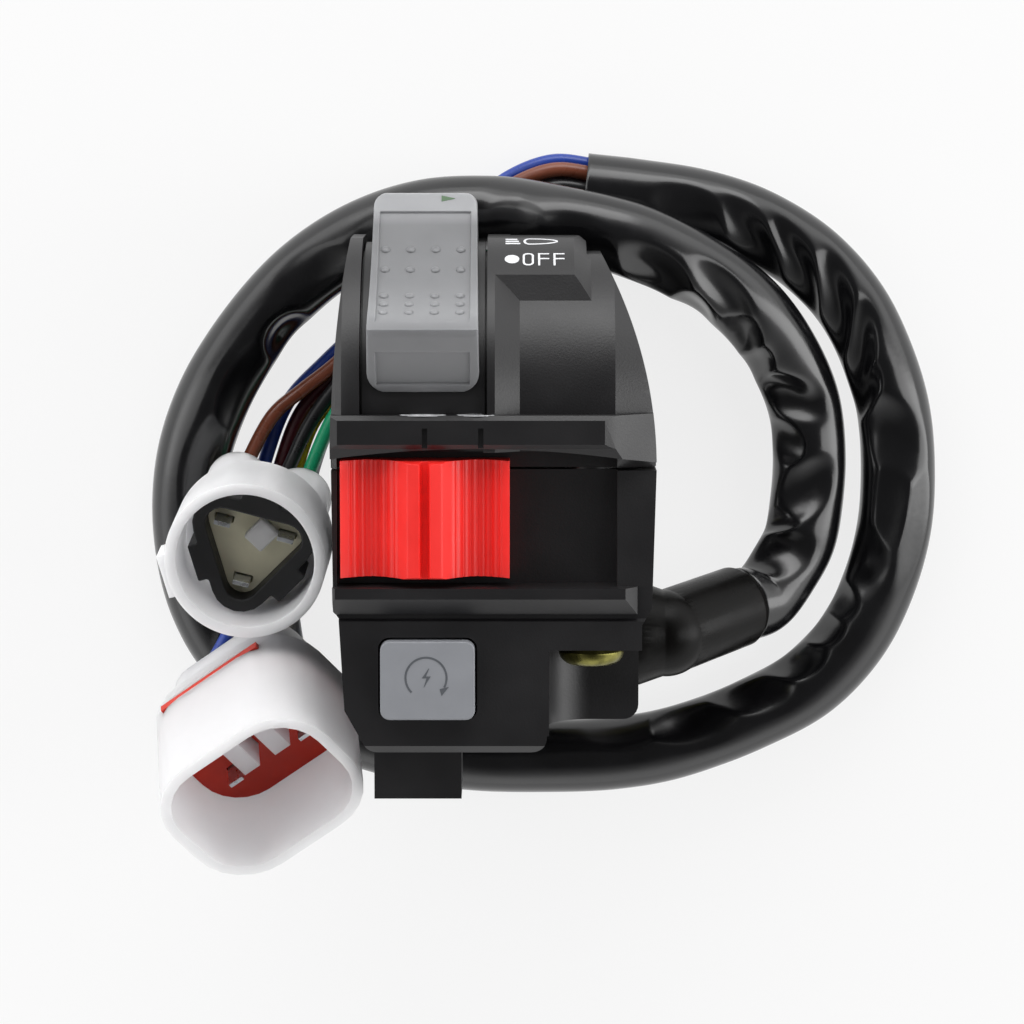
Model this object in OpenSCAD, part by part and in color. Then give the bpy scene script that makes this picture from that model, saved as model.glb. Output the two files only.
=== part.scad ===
// Handlebar switch cluster: a split housing clamped on the bar, with a light lever,
// an engine stop slider, a start button and a sheathed loom with two connectors.
// X runs along the handlebar, Y from the lower case to the upper case, Z out of the control face.
// The origin is the centre of the handlebar bore.

/* [Handlebar clamp] */
// Diameter of the handlebar
bar_d = 22.2; // [21.8:0.1:22.6]
// Room between the bar and the closed clamp
bar_clear = 0.05; // [0:0.01:0.1]
// Wall of the clamp round the bar
clamp_wall = 3.4; // [2.6:0.1:4]
// Gap at the split between the two cases
split_gap = 0.3; // [0.2:0.05:0.6]
// Depth of the rear screw lug behind the bar wall
lug_d = 8; // [7:0.5:9]
// Width of the rear screw lug
lug_w = 11.2; // [10.8:0.2:12]
// Height of each half of the rear lug
lug_h = 10.5; // [9:0.5:12]

/* [Clamp screws] */
// Thread diameter of the clamp screws
screw_d = 5; // [4.6:0.1:5.2]
// Head diameter of the clamp screws
screw_head_d = 8.6; // [7.8:0.1:9]
// Head height of the clamp screws
screw_head_h = 2.9; // [2.4:0.1:3.4]
// Place of the screws along the bar
screw_x = 13; // [12.8:0.1:13.2]
// Distance of the screws from the bar axis
screw_z = 15.4; // [15.2:0.1:15.8]
// Depth of the front screw head below the split
screw_drop = 23.3; // [22:0.1:24]
// Thread length in the upper case
screw_bite = 11; // [8:0.5:12]

/* [Cases] */
// Length of the cases left of the origin
case_left = 20.8; // [20.4:0.1:21.4]
// Length of the cases right of the origin
case_right = 21.3; // [20.8:0.1:22]
// Height of the lower case below the bar axis
lower_h = 36.8; // [36.2:0.1:38.6]
// Height of the lower case at the screw column
column_h = 34.5; // [33.5:0.1:35]
// Face of the button block
block_z = 23.2; // [22.8:0.1:23.6]
// Back of the cases
back_z = -9; // [-9.4:0.1:-8.6]
// Width of the stop tab
tab_w = 11.4; // [9:0.2:13]
// Length of the stop tab
tab_l = 6.7; // [4:0.1:8]

/* [Light lever] */
// Height of the lever axis above the bar axis
light_y = 8; // [7.8:0.1:8.2]
// Depth of the lever axis in front of the bar axis
light_z = 2; // [1.8:0.1:2.2]
// Radius of the guard and the label pad
guard_r = 22; // [21.8:0.1:22.4]
// Radius of the recessed panel
panel_r = 20.3; // [20:0.1:20.6]
// Radius of the drum under the knob
drum_r = 20.5; // [20.3:0.1:20.7]
// Wall of the drum
drum_wall = 2.2; // [2:0.1:2.4]
// Width of the lever slot
slot_w = 16.4; // [16:0.1:16.8]
// Right side of the lever slot
slot_right = -0.6; // [-0.8:0.1:-0.4]
// Width of the lever knob
knob_w = 14.4; // [13.4:0.1:15]
// Radius of the knob's two horns
horn_r = 28.2; // [27.4:0.1:28.6]
// Radius of the saddle at its middle
saddle_r = 22; // [21.6:0.1:22.4]
// Lever travel in degrees
light_turn = 19; // [15:1:20]

/* [Stop slider] */
// Width of the slider knob
stop_w = 21.8; // [20:0.2:22.4]
// Height of the slider knob
stop_h = 15.2; // [14:0.2:15.6]
// Left side of the slider knob
stop_left = -19.5; // [-19.7:0.1:-19.3]
// Top of the slider knob
stop_top = 1.4; // [1:0.1:1.8]
// Crest of the slider's ridges
stop_crest = 26; // [25:0.1:27]
// Floor of the slider channel
stop_floor = 19; // [18.9:0.1:19.2]
// Slider travel
stop_travel = 7.2; // [5:0.1:8]

/* [Start button] */
// Width of the start button
start_w = 12.2; // [10:0.1:13]
// Height of the start button
start_h = 10.2; // [9:0.1:11]
// Middle of the start button along the bar
start_x = -8.3; // [-9:0.1:-8]
// Middle of the start button below the bar axis
start_y = -27; // [-27.5:0.1:-26.5]
// Height of the button above the block
start_rise = 1.8; // [1:0.1:3]
// Button travel
start_travel = 2.5; // [1.5:0.1:3]

/* [Cable] */
// Outer diameter of the sheath
sheath_d = 10; // [9:0.1:10.2]
// Diameter of a wire
wire_d = 2; // [1.6:0.1:2]
// Flange diameter of the boot
boot_flange_d = 14; // [13:0.2:15]
// Outer diameter of the boot at its end
boot_end_d = 11.2; // [10.8:0.1:12]

/* [Connectors] */
// Outer diameter of the three way shell
plug3_d = 21.4; // [20.6:0.1:22]
// Length of the three way shell
plug3_l = 24; // [22:0.5:25]
// Depth of the three way socket
plug3_depth = 11; // [10.5:0.5:12]
// Width of the four way shell
plug4_w = 26; // [25:0.2:27]
// Height of the four way shell
plug4_h = 21; // [20:0.2:22]
// Length of the four way shell
plug4_l = 25; // [24:0.5:26]
// Depth of the four way socket
plug4_depth = 17; // [16:0.5:18]
// Wall of both shells
plug_wall = 1.5; // [1.2:0.1:1.8]

/* [Hidden] */

black = "#2b2b2d";
brass = "#c9a24a";
steel = "#b9bcc0";
white = "#f2f2f2";

// Clearances
run = 0.3;
seat = 0.05;
eps = 0.01;
far = 60;

bore_r = bar_d / 2 + bar_clear;
clamp_r = bore_r + clamp_wall;
half_gap = split_gap / 2;
round_fn = 96;

// Helpers: extrusions along each axis, with the profile given in the other two
module along_x(x0, x1) {
    translate([x0, 0, 0]) rotate([90, 0, 90]) linear_extrude(x1 - x0) children();
}
module along_y(y0, y1) {
    translate([0, y1, 0]) rotate([90, 0, 0]) linear_extrude(y1 - y0) children();
}
module along_z(z0, z1) {
    translate([0, 0, z0]) linear_extrude(z1 - z0) children();
}
module rod_x(r, x0, x1, y, z) {
    translate([x0, y, z]) rotate([0, 90, 0]) cylinder(r = r, h = x1 - x0, $fn = round_fn);
}
module rod_y(r, y0, y1, x, z) {
    translate([x, y1, z]) rotate([90, 0, 0]) cylinder(r = r, h = y1 - y0, $fn = round_fn);
}
module rod_z(r, z0, z1, x, y) {
    translate([x, y, z0]) cylinder(r = r, h = z1 - z0, $fn = round_fn);
}
module block(a, b) {
    translate(a) cube(b - a);
}

// A corner arc and a rounded rectangle, as points
corner_steps = 6;
function arc(c, r, a0, a1, n) = [
    for (k = [0:n])
        let (a = a0 + (a1 - a0) * k / n)
        c + r * [cos(a), sin(a)]
];
function rounded(w, h, r) = [
    for (q = [0:3])
        let (sx = [1, -1, -1, 1][q], sy = [1, 1, -1, -1][q])
        each arc([sx * (w / 2 - r), sy * (h / 2 - r)], r, 90 * q, 90 * q + 90, corner_steps)
];
// A triangle with round corners, centred, with its corners at the distance reach
function round_triangle(reach, r) = [
    for (q = [0:2])
        let (a = 90 + 120 * q)
        each arc((reach - r) * [cos(a), sin(a)], r, a - 60, a + 60, corner_steps)
];

// A tube swept along points, closed at both ends, with a reference across the bends
function unit(v) = v / norm(v);
function heading(p, i) = unit(p[min(i + 1, len(p) - 1)] - p[max(i - 1, 0)]);
function tube_ring(c, t, ref, r, n) =
    let (s = unit(cross(t, ref)), u = cross(s, t))
    [for (k = [0:n - 1]) c + r * (cos(360 * k / n) * s + sin(360 * k / n) * u)];
module tube(path, r, n, ref) {
    m = len(path);
    points = [for (i = [0:m - 1]) each tube_ring(path[i], heading(path, i), ref, r, n)];
    sides = [
        for (i = [0:m - 2], k = [0:n - 1])
            let (a = i * n + k, b = i * n + (k + 1) % n)
            each [[a, b, b + n], [a, b + n, a + n]]
    ];
    first = [for (k = [1:n - 2]) [0, k + 1, k]];
    base = (m - 1) * n;
    last = [for (k = [1:n - 2]) [base, base + k, base + k + 1]];
    polyhedron(points, concat(sides, first, last));
}

// A compression spring along Z with closed helix ends
spring_steps = 8;
module spring(r, wire_r, length, turns) {
    count = turns * spring_steps;
    rise = (length - 2 * wire_r) / count;
    path = [
        for (k = [0:count])
            [r * cos(k * 360 / spring_steps), r * sin(k * 360 / spring_steps), wire_r + k * rise]
    ];
    tube(path, wire_r, 6, [0, 0, 1]);
}

// Rings about the lever axis, from the front (0 degrees) over the top (90 degrees)
module lever_ring(a0, a1) {
    translate([0, light_y, light_z]) rotate([90, 0, 90]) rotate([0, 0, 90 - a1])
        rotate_extrude(angle = a1 - a0, $fn = 180) children();
}
module lever_band(r0, r1, x0, x1, a0, a1) {
    lever_ring(a0, a1) translate([r0, x0]) square([r1 - r0, x1 - x0]);
}
function lever_point(r, a) = [light_y + r * sin(a), light_z + r * cos(a)];

// Upper case
slot_left = slot_right - slot_w;
slot_floor = drum_r - drum_wall - run;
slot_rear = 125;
slot_front = -10;
ledge_y = 7.3;
lip_z = 25.2;
lip_bottom = 3;
lip_fall = 4.4;
tongue = 1.2;
tongue_h = 1;
pad_right = 10.7;
pad_low = 50.2;
pad_step = 42;
land_right = 15.9;
end_r = 17.4;
guard_round = 2.4;
bevel_x = 3.2;
pad_bevel = 2.2;
top_cut = 0.7;
shoulder_cut = 1.1;
shoulder_x = pad_right + pad_bevel - 0.5;
overlap = 0.5;
// Step in the back of the upper case that the sheath passes in
relief = 8;
pad_foot = lever_point(panel_r, pad_step);
pad_slope = unit(lever_point(guard_r, pad_low) - pad_foot);
channel_right = 16.2;

module half(up) {
    along_x(-far, far) translate([up ? half_gap : -far - half_gap, -far]) square([far, 2 * far]);
}

// Plan of the upper case, bowed at both ends
module upper_plan() {
    intersection() {
        translate([case_right - 57, 0]) circle(57, $fn = 240);
        translate([200 - case_left, 0]) circle(200, $fn = 360);
        // Flat top, lower beside the pad
        union() {
            translate([-far, 0]) square([far + shoulder_x, light_y + guard_r - top_cut]);
            translate([-far, 0]) square([2 * far, light_y + panel_r - shoulder_cut]);
        }
    }
}

module clamp_wall_solid() {
    rod_x(clamp_r, -case_left, case_right, 0, 0);
    block([screw_x - lug_w / 2, -lug_h, -clamp_r - lug_d], [screw_x + lug_w / 2, lug_h, -bore_r - 1]);
}

module upper_dome() {
    // Panel, with the right end falling away
    lever_ring(0, 360) polygon([
        [0, -case_left], [panel_r, -case_left], [panel_r, land_right],
        [end_r, case_right + 1], [0, case_right + 1]
    ]);
    // Guard left of the lever, run on into the slot that is cut from it
    lever_ring(0, 360) polygon([
        [0, -case_left], each arc([guard_r - guard_round, guard_round - case_left], guard_round, -90, 0, 4),
        [guard_r, slot_left + overlap], [0, slot_left + overlap]
    ]);
    // Land right of the lever, bevelled down to the panel
    lever_ring(-30, 130) raised_strip(slot_right + 1, bevel_x);
    // Label pad with its sloped foot
    difference() {
        lever_ring(pad_step - 15, 130) raised_strip(pad_right, pad_bevel);
        along_x(-far, far) polygon([
            pad_foot - overlap * pad_slope, pad_foot + 8 * pad_slope,
            lever_point(guard_r + 8, pad_step - 20), lever_point(panel_r - overlap, pad_step - 20)
        ]);
    }
}
// Section of a strip that stands on the panel and falls away to its right
module raised_strip(right, bevel) {
    foot = right + bevel * (1 + overlap / (guard_r - panel_r));
    polygon([
        [slot_floor, slot_right - overlap], [guard_r, slot_right - overlap], [guard_r, right],
        [panel_r - overlap, foot], [slot_floor, foot]
    ]);
}

// Lip over the slider, with a bowed lower edge and a right end that falls away with the case
module lip() {
    intersection() {
        along_x(-case_left, case_right) polygon([
            [0, stop_floor], [0, lip_z - 2], [lip_bottom, lip_z - 0.6], [lip_bottom + 0.6, lip_z],
            [ledge_y - 0.6, lip_z], [ledge_y, lip_z - 0.6], [ledge_y, stop_floor]
        ]);
        along_y(0, ledge_y + 1) polygon([
            [-case_left, 0], [-case_left, lip_z - 0.5], [-case_left + 1, lip_z], [land_right - 1.4, lip_z],
            [land_right, lip_z - 0.6], [case_right, lip_z - lip_fall], [case_right, 0]
        ]);
        along_z(0, 40) difference() {
            translate([-far, 0]) square([2 * far, far]);
            translate([-2, lip_bottom - 130]) circle(130, $fn = 720);
        }
    }
}

module screw_hole(z, r) {
    rod_y(r, -far, screw_bite + 1, screw_x, z);
}

light_cavity_r = 11.6;
light_cavity_x = [slot_left + 2.5, slot_right - 2.5];

module upper_case() {
    color(black) difference() {
        intersection() {
            union() {
                difference() {
                    upper_dome();
                    block([-far, -far, -far], [far, far, back_z]);
                    block([slot_right + 3, light_y + 12, -far], [far, far, back_z + relief]);
                }
                clamp_wall_solid();
                lip();
            }
            half(true);
            along_z(-far, far) upper_plan();
        }
        rod_x(bore_r, -far, far, 0, 0);
        // Lever slot, its passage under the lip and the grooves for the drum's tongues
        lever_band(slot_floor, far, slot_left, slot_right, -1.8, slot_rear);
        lever_band(slot_floor, drum_r + run, slot_left, slot_right, slot_front, slot_rear);
        lever_band(slot_floor, drum_r - drum_wall + tongue_h + run,
            slot_left - tongue - run, slot_right + tongue + run, slot_front, slot_rear);
        // Space for the light contacts
        lever_band(light_cavity_r, slot_floor + 1, light_cavity_x[0], light_cavity_x[1], 18, 78);
        // Upper part of the slider channel
        block([-case_left + 0.8, 0, stop_floor], [channel_right, lip_bottom - 0.6, lip_z - 1.6]);
        // Index notches on the lip
        for (x = [stop_left + stop_w / 2, stop_left + stop_w / 2 + stop_travel])
            block([x - 0.35, lip_bottom, lip_z - 0.5], [x + 0.35, ledge_y - 1.6, lip_z + 1]);
        screw_hole(screw_z, screw_d / 2 + seat);
        screw_hole(-screw_z, screw_d / 2 + seat);
    }
}

// Light lever
drum_low = -8;
drum_high = 98;
drum_in = drum_r - drum_wall;
detent_a = 48;
detent_x = light_cavity_x[0] + 2.2;
detent_ball_r = 1.2;
contact_x = [detent_x + detent_ball_r + 1, light_cavity_x[1] - 1];

module light_drum() {
    color(black) difference() {
        union() {
            lever_band(drum_in, drum_r, slot_left + run, slot_right - run, drum_low, drum_high);
            lever_band(drum_in, drum_in + tongue_h,
                slot_left - tongue, slot_right + tongue, drum_low, drum_high);
        }
        // Click notches
        for (a = [detent_a, detent_a - light_turn])
            let (p = lever_point(drum_in - detent_ball_r + 0.4, a))
            translate([detent_x, p[0], p[1]]) sphere(detent_ball_r + 0.2, $fn = 32);
    }
}

knob_front = 7;
knob_front_horn = 21;
knob_back_horn = 89;
knob_back = 103;
saddle_mid = (knob_front_horn + knob_back_horn) / 2;
saddle_half = (knob_back_horn - knob_front_horn) / 2 - 3;
// Radius of the circle through both horns and the bottom of the saddle
saddle_far = (horn_r * horn_r - saddle_r * saddle_r) / (2 * (horn_r * cos(saddle_half) - saddle_r));
knob_left = (slot_left + slot_right - knob_w) / 2;
knob_taper = 0.4;
knob_cap = 1.6;
knob_foot = 2.6;
knob_rim = 0.8;
knob_sunk = 0.35;
// Flat back of the knob, and the angle where the sunk saddle ends below the cap
knob_back_cut = 1.2;
knob_cap_a = 43.1;

module knob_side() {
    difference() {
        polygon([
            lever_point(drum_r - 2, knob_front), lever_point(drum_r + 0.6, knob_front - 1),
            lever_point(horn_r - 0.8, knob_front_horn - 1), lever_point(horn_r, knob_front_horn + 1),
            lever_point(horn_r, knob_back_horn - 1), lever_point(horn_r - 0.8, knob_back_horn + 1),
            lever_point(drum_r + 0.6, knob_back + 1), lever_point(drum_r - 2, knob_back)
        ]);
        translate([light_y, light_z]) circle(drum_r + seat, $fn = 240);
        translate(lever_point(saddle_far, saddle_mid)) circle(saddle_far - saddle_r, $fn = 360);
    }
}

// Outline of the knob from the front, narrower at its top
module knob_plan() {
    mid = knob_left + knob_w / 2;
    low = lever_point(drum_r, knob_front - 1)[0];
    high = light_y + horn_r - knob_back_cut;
    polygon(concat(
        arc([mid - knob_w / 2 + knob_foot, low + knob_foot], knob_foot, 180, 270, corner_steps),
        arc([mid + knob_w / 2 - knob_foot, low + knob_foot], knob_foot, 270, 360, corner_steps),
        arc([mid + knob_w / 2 - knob_taper - knob_cap, high - knob_cap], knob_cap, 0, 90, corner_steps),
        arc([mid - knob_w / 2 + knob_taper + knob_cap, high - knob_cap], knob_cap, 90, 180, corner_steps)
    ));
}

module light_knob() {
    rim = [knob_left + knob_taper + knob_rim, knob_left + knob_w - knob_taper - knob_rim];
    face = [lever_point(drum_r + 0.6, knob_front - 1), lever_point(horn_r - 0.8, knob_front_horn - 1)];
    way = unit(face[1] - face[0]);
    out = [-way[1], way[0]];
    color("#b4b5b8") difference() {
        intersection() {
            along_x(knob_left, knob_left + knob_w) knob_side();
            along_z(-far, far) knob_plan();
        }
        // Sunk saddle and sunk front panel, each inside a rim
        along_x(rim[0], rim[1]) translate(lever_point(saddle_far, saddle_mid)) intersection() {
            circle(saddle_far - saddle_r + knob_sunk, $fn = 360);
            polygon([[0, 0], -far * [sin(knob_cap_a), cos(knob_cap_a)], -far * [1, 0]]);
        }
        along_x(rim[0], rim[1]) polygon([
            face[0] + 1.2 * way - knob_sunk * out, face[0] + 1.2 * way + out,
            face[1] - 2.2 * way + out, face[1] - 2.2 * way - knob_sunk * out
        ]);
    }
}

module light_contact() {
    color(brass) lever_band(drum_in - 1.2, drum_in - seat, contact_x[0], contact_x[1], 38, 56);
}

base_top = light_cavity_r + 3;
module light_base() {
    color("#5a4632") difference() {
        lever_band(light_cavity_r + seat, base_top,
            light_cavity_x[0] + seat, light_cavity_x[1] - seat, 20, 76);
        detent_bore(light_cavity_r + 0.8);
        for (x = light_screw_x)
            lever_radial(x, light_screw_a) cylinder(r = base_screw_d / 2 + seat, h = far, $fn = 32);
    }
}
module detent_bore(r0) {
    lever_radial(detent_x, detent_a) translate([0, 0, r0])
        cylinder(r = detent_ball_r + seat, h = 12, $fn = 48);
}
// Places a shape on the lever axis with its Z pointing out at an angle
module lever_radial(x, a) {
    translate([x, light_y, light_z]) rotate([-a, 0, 0]) children();
}
light_screw_x = [light_cavity_x[0] + 3.4, light_cavity_x[1] - 3];
light_screw_a = 70;

module light_terminals() {
    color(brass) for (a = [36, 47, 58])
        lever_radial((contact_x[0] + contact_x[1]) / 2, a) translate([0, 0, base_top + seat])
            cylinder(r = 1.1, h = drum_in - 1.2 - run - base_top - seat, $fn = 48);
}

module light_detent_ball() {
    color(steel) lever_radial(detent_x, detent_a) translate([0, 0, drum_in - 0.2 - detent_ball_r])
        sphere(detent_ball_r, $fn = 48);
}

module light_detent_spring() {
    room = drum_in - 0.2 - 2 * detent_ball_r - light_cavity_r - 0.8;
    color(steel) lever_radial(detent_x, detent_a) translate([0, 0, light_cavity_r + 0.8 + 0.1])
        spring(0.8, 0.2, room - 0.2, 4);
}

// Lower case
channel_bottom = -15;
ledge_low = -18.6;
ledge_z = 25;
column_right = 19.4;
recess_r = 5.6;
recess_left = screw_x - recess_r;
boot_y = -24.5;
boot_z = -1;

module lower_side() {
    polygon([
        [0, stop_floor + 1.8], [channel_bottom, block_z - 0.7], [ledge_low, block_z - 0.7],
        [ledge_low - 0.6, block_z - 0.7], [ledge_low - 0.9, block_z],
        [-lower_h + 1, block_z], [-lower_h, block_z - 1], [-lower_h, back_z + 5],
        [-lower_h + 5, back_z], [0, back_z]
    ]);
}

// Plan of the lower case: a bowed left side, a right column and a shorter foot under it
module lower_plan() {
    polygon(concat(
        [[-case_left, 0], [-case_left + 0.3, ledge_low + 0.4], [-case_left + 1, ledge_low - 0.6]],
        [[-case_left + 1.7, -lower_h + 5.6]],
        arc([-case_left + 6, -lower_h + 2], 2, 210, 270, corner_steps),
        arc([recess_left - 2.3, -lower_h + 2], 2, 270, 360, corner_steps),
        [[recess_left - 0.3, -column_h]],
        arc([column_right - 2, -column_h + 2], 2, 270, 360, corner_steps),
        [[column_right, ledge_low - 1.4], [case_right - 0.6, ledge_low + 0.6], [case_right, 0]]
    ));
}

// Ledge under the slider channel, bevelled below and at its right end
module ledge() {
    intersection() {
        along_x(-case_left, column_right) polygon([
            [channel_bottom, stop_floor - 2], [channel_bottom, ledge_z], [channel_bottom - 1.4, ledge_z],
            [ledge_low, block_z - 0.2], [ledge_low, stop_floor - 2]
        ]);
        along_y(ledge_low, channel_bottom) polygon([
            [-case_left, 0], [-case_left, ledge_z - 0.6], [-case_left + 0.6, ledge_z],
            [channel_right + 1, ledge_z], [column_right - 0.6, block_z - 0.2], [column_right - 0.6, 0]
        ]);
    }
}

stop_cavity_x = [-17, 8];
stop_cavity_y = [-12, -1.8];
stop_cavity_z = [13.3, 18];
stop_detent_x = stop_left + stop_w / 2;
stop_detent_z = 16;
stop_bore_end = stop_cavity_y[0] - 7;
stop_ball_r = 1.3;
carrier_low = -10.5;
carrier_high = -3;
neck_w = 3.4;
neck_y = [-8.3, -4.7];
start_skin = 5;
start_step = block_z - start_skin;
start_flange = 0.8;
start_floor = 4;
start_corner = 1.2;

module start_plan(grow) {
    translate([start_x, start_y])
        polygon(rounded(start_w + 2 * grow, start_h + 2 * grow, start_corner + grow));
}

module lower_case() {
    color(black) difference() {
        union() {
            intersection() {
                union() {
                    along_x(-far, far) lower_side();
                    ledge();
                }
                half(false);
                along_z(-far, far) lower_plan();
            }
            intersection() {
                clamp_wall_solid();
                half(false);
            }
            // Boss that closes the split round the front screw
            rod_y(screw_d / 2 + 1, -2, half_gap - 0.05, screw_x, screw_z);
            // Stop tab below the button block, open at its back
            difference() {
                block([-tab_w - 4, -lower_h - tab_l, 7], [-4, -lower_h + 1, 19]);
                block([-tab_w - 2, -lower_h - tab_l + 2, 6], [-6, -lower_h - eps, 15]);
            }
        }
        rod_x(bore_r, -far, far, 0, 0);
        // Slider channel, the slot in its floor and the space for its contacts
        block([-case_left + 0.8, channel_bottom, stop_floor], [channel_right, 1, far]);
        block([stop_detent_x - neck_w / 2 - run, neck_y[0] - run, stop_cavity_z[1] - 1],
            [stop_detent_x + stop_travel + neck_w / 2 + run, neck_y[1] + run, stop_floor + 1]);
        block([stop_cavity_x[0], stop_cavity_y[0], stop_cavity_z[0]],
            [stop_cavity_x[1], stop_cavity_y[1], stop_cavity_z[1]]);
        rod_y(stop_ball_r + seat, stop_bore_end, stop_cavity_y[0] + 1, stop_detent_x, stop_detent_z);
        // Button opening and the space behind it
        along_z(start_step - eps, far) start_plan(run);
        along_z(start_floor, start_step) start_plan(start_flange + run);
        // Screw holes and the corner that leaves the front head open
        screw_hole(screw_z, screw_d / 2 + 0.2);
        screw_hole(-screw_z, screw_d / 2 + 0.2);
        rod_y(recess_r, -far, -screw_drop, screw_x, screw_z);
        block([screw_x - recess_r, -far, screw_z], [screw_x, -screw_drop, far]);
        block([screw_x, -far, screw_z - recess_r], [far, -screw_drop, far]);
        // Seat of the cable boot
        rod_x(boot_flange_d / 2 + seat, column_right - boot_flange_l, far, boot_y, boot_z);
        rod_x(boot_neck_r + seat, column_right - boot_neck_l, far, boot_y, boot_z);
    }
}

// A pan head screw along Z, with its seat at zero and its head above
module pan_screw(d, head_d, head_h, length) {
    difference() {
        union() {
            translate([0, 0, -length]) cylinder(r = d / 2, h = length, $fn = 64);
            rotate_extrude($fn = 96) polygon(concat(
                [[0, 0], [head_d * 0.4, 0], [head_d / 2, head_h * 0.35]],
                arc([head_d / 2 - head_h * 0.65, head_h * 0.35], head_h * 0.65, 0, 90, corner_steps),
                [[0, head_h]]
            ));
        }
        for (a = [0, 90]) rotate([0, 0, a])
            translate([-head_d * 0.3, -0.5, head_h * 0.45]) cube([head_d * 0.6, 1, head_h]);
    }
}

module clamp_screws() {
    color("#a59a4a") {
        translate([screw_x, -screw_drop, screw_z]) rotate([90, 0, 0])
            pan_screw(screw_d, screw_head_d, screw_head_h, screw_drop + screw_bite);
        translate([screw_x, -lug_h, -screw_z]) rotate([90, 0, 0])
            pan_screw(screw_d, screw_head_d, screw_head_h, lug_h + lug_h - 1);
    }
}

// Stop slider
rib_pitch = 0.9;
rib_h = 0.22;
stop_mid = stop_left + stop_w / 2;
// Height of the slider's face at a distance from its middle: two crests, a groove and two finger scoops
function stop_face(d) =
    let (e = abs(d), edge = stop_w / 2)
    e < 0.5 ? stop_crest - 1.4 :
    e < 2.2 ? stop_crest - 0.25 * (e - 0.5) :
    let (t = (e - 2.2) / (edge - 2.2), deep = stop_crest - 0.4 - stop_scoop * sin(180 * t) - stop_fall * t)
    (t > 0.18 && t < 0.86) ? deep + rib_h * abs(cos(180 * e / rib_pitch)) : deep;
stop_step = 0.225;
stop_web = 2.3;
stop_fall = 1.6;
stop_scoop = stop_crest - 0.4 - stop_fall / 2 - stop_web - stop_floor - run;

module stop_knob() {
    low = stop_floor + run;
    count = floor(stop_w / stop_step / 2);
    face = [for (k = [-count:count]) [stop_mid + k * stop_step, stop_face(k * stop_step)]];
    color("#f02a2c") intersection() {
        along_y(stop_top - stop_h, stop_top) polygon(concat(
            [[stop_left, low]], [[stop_left, stop_face(stop_w / 2)]], face,
            [[stop_left + stop_w, stop_face(stop_w / 2)], [stop_left + stop_w, low]]
        ));
        along_x(-far, far) polygon([
            [stop_top - stop_h, low], [stop_top - stop_h, stop_crest - 1.2],
            [stop_top - stop_h + 0.6, stop_crest + 1], [stop_top - 0.6, stop_crest + 1],
            [stop_top, stop_crest - 1.2], [stop_top, low]
        ]);
    }
}

carrier_z = [16.3, 17.7];
carrier_half = 5;
module stop_carrier() {
    color("#d8d8d4") difference() {
        union() {
            block([stop_detent_x - carrier_half, carrier_low, carrier_z[0]],
                [stop_detent_x + carrier_half, carrier_high, carrier_z[1]]);
            block([stop_detent_x - neck_w / 2, neck_y[0], carrier_z[1] - eps],
                [stop_detent_x + neck_w / 2, neck_y[1], stop_floor + run]);
        }
        // Click notch at the run position
        translate([stop_detent_x, carrier_low, 0]) rotate([0, 0, 45])
            translate([-0.6, -0.6, 0]) cube([1.2, 1.2, far]);
    }
}

module stop_contact() {
    color(brass) block([stop_detent_x - 4, -9.5, carrier_z[0] - 0.5], [stop_detent_x + 4, -4, carrier_z[0]]);
}

stop_base_h = 1.2;
terminal_pitch = 5;
module stop_base() {
    color("#5a4632") difference() {
        block([stop_cavity_x[0] + seat, stop_cavity_y[0] + seat, stop_cavity_z[0]],
            [stop_cavity_x[1] - seat, stop_cavity_y[1] - seat, stop_cavity_z[0] + stop_base_h]);
        for (x = stop_screw_x) rod_z(base_screw_d / 2 + seat, 0, far, x, stop_screw_y);
    }
}
stop_screw_x = [stop_cavity_x[0] + 2, stop_cavity_x[1] - 2];
stop_screw_y = stop_cavity_y[0] + 2.2;

module stop_terminals() {
    top = carrier_z[0] - 0.5 - run;
    low = stop_cavity_z[0] + stop_base_h;
    color(brass) for (k = [0:2])
        rod_z(1.2, low, top, stop_detent_x + (k - 0.5) * terminal_pitch, (neck_y[0] + neck_y[1]) / 2);
}

module stop_detent_ball() {
    color(steel) translate([stop_detent_x, carrier_low - run - stop_ball_r + 0.1, stop_detent_z])
        sphere(stop_ball_r, $fn = 48);
}

module stop_detent_spring() {
    top = carrier_low - run - 2 * stop_ball_r + 0.1;
    color(steel) translate([stop_detent_x, stop_bore_end + 0.1, stop_detent_z]) rotate([-90, 0, 0])
        spring(0.85, 0.2, top - stop_bore_end - 0.2, 5);
}

// Start button
start_top = block_z + start_rise;
start_low = start_step - 2.1;
start_post_x = 4;
contact_z = start_low - 2.2;
start_base_top = start_floor + 3;
contact_w = 11.2;
contact_h = 6;
start_stem_r = 1.2;
start_spring_r = 2.1;
start_wire_r = 0.25;

module start_button() {
    color("#8f9298") {
        along_z(start_low + 1.8, start_top) start_plan(0);
        along_z(start_low, start_low + 1.8) start_plan(start_flange);
        rod_z(start_stem_r, start_base_top + start_travel + 1, start_low + eps, start_x, start_y);
        for (s = [-1, 1]) rod_z(1, contact_z, start_low + eps, start_x + s * start_post_x, start_y);
    }
}

module start_contact() {
    color(brass) difference() {
        block([start_x - contact_w / 2, start_y - contact_h / 2, contact_z - 0.6],
            [start_x + contact_w / 2, start_y + contact_h / 2, contact_z]);
        rod_z(start_spring_r + start_wire_r + run, 0, far, start_x, start_y);
    }
}

module start_base() {
    color("#5a4632") difference() {
        along_z(start_floor, start_base_top) start_plan(start_flange + run - seat);
        for (s = [-1, 1])
            rod_z(base_screw_d / 2 + seat, start_floor + 0.5, far,
                start_x + s * start_screw_x, start_screw_y);
    }
}
start_screw_x = 5;
start_screw_y = start_y + 3.4;

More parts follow.
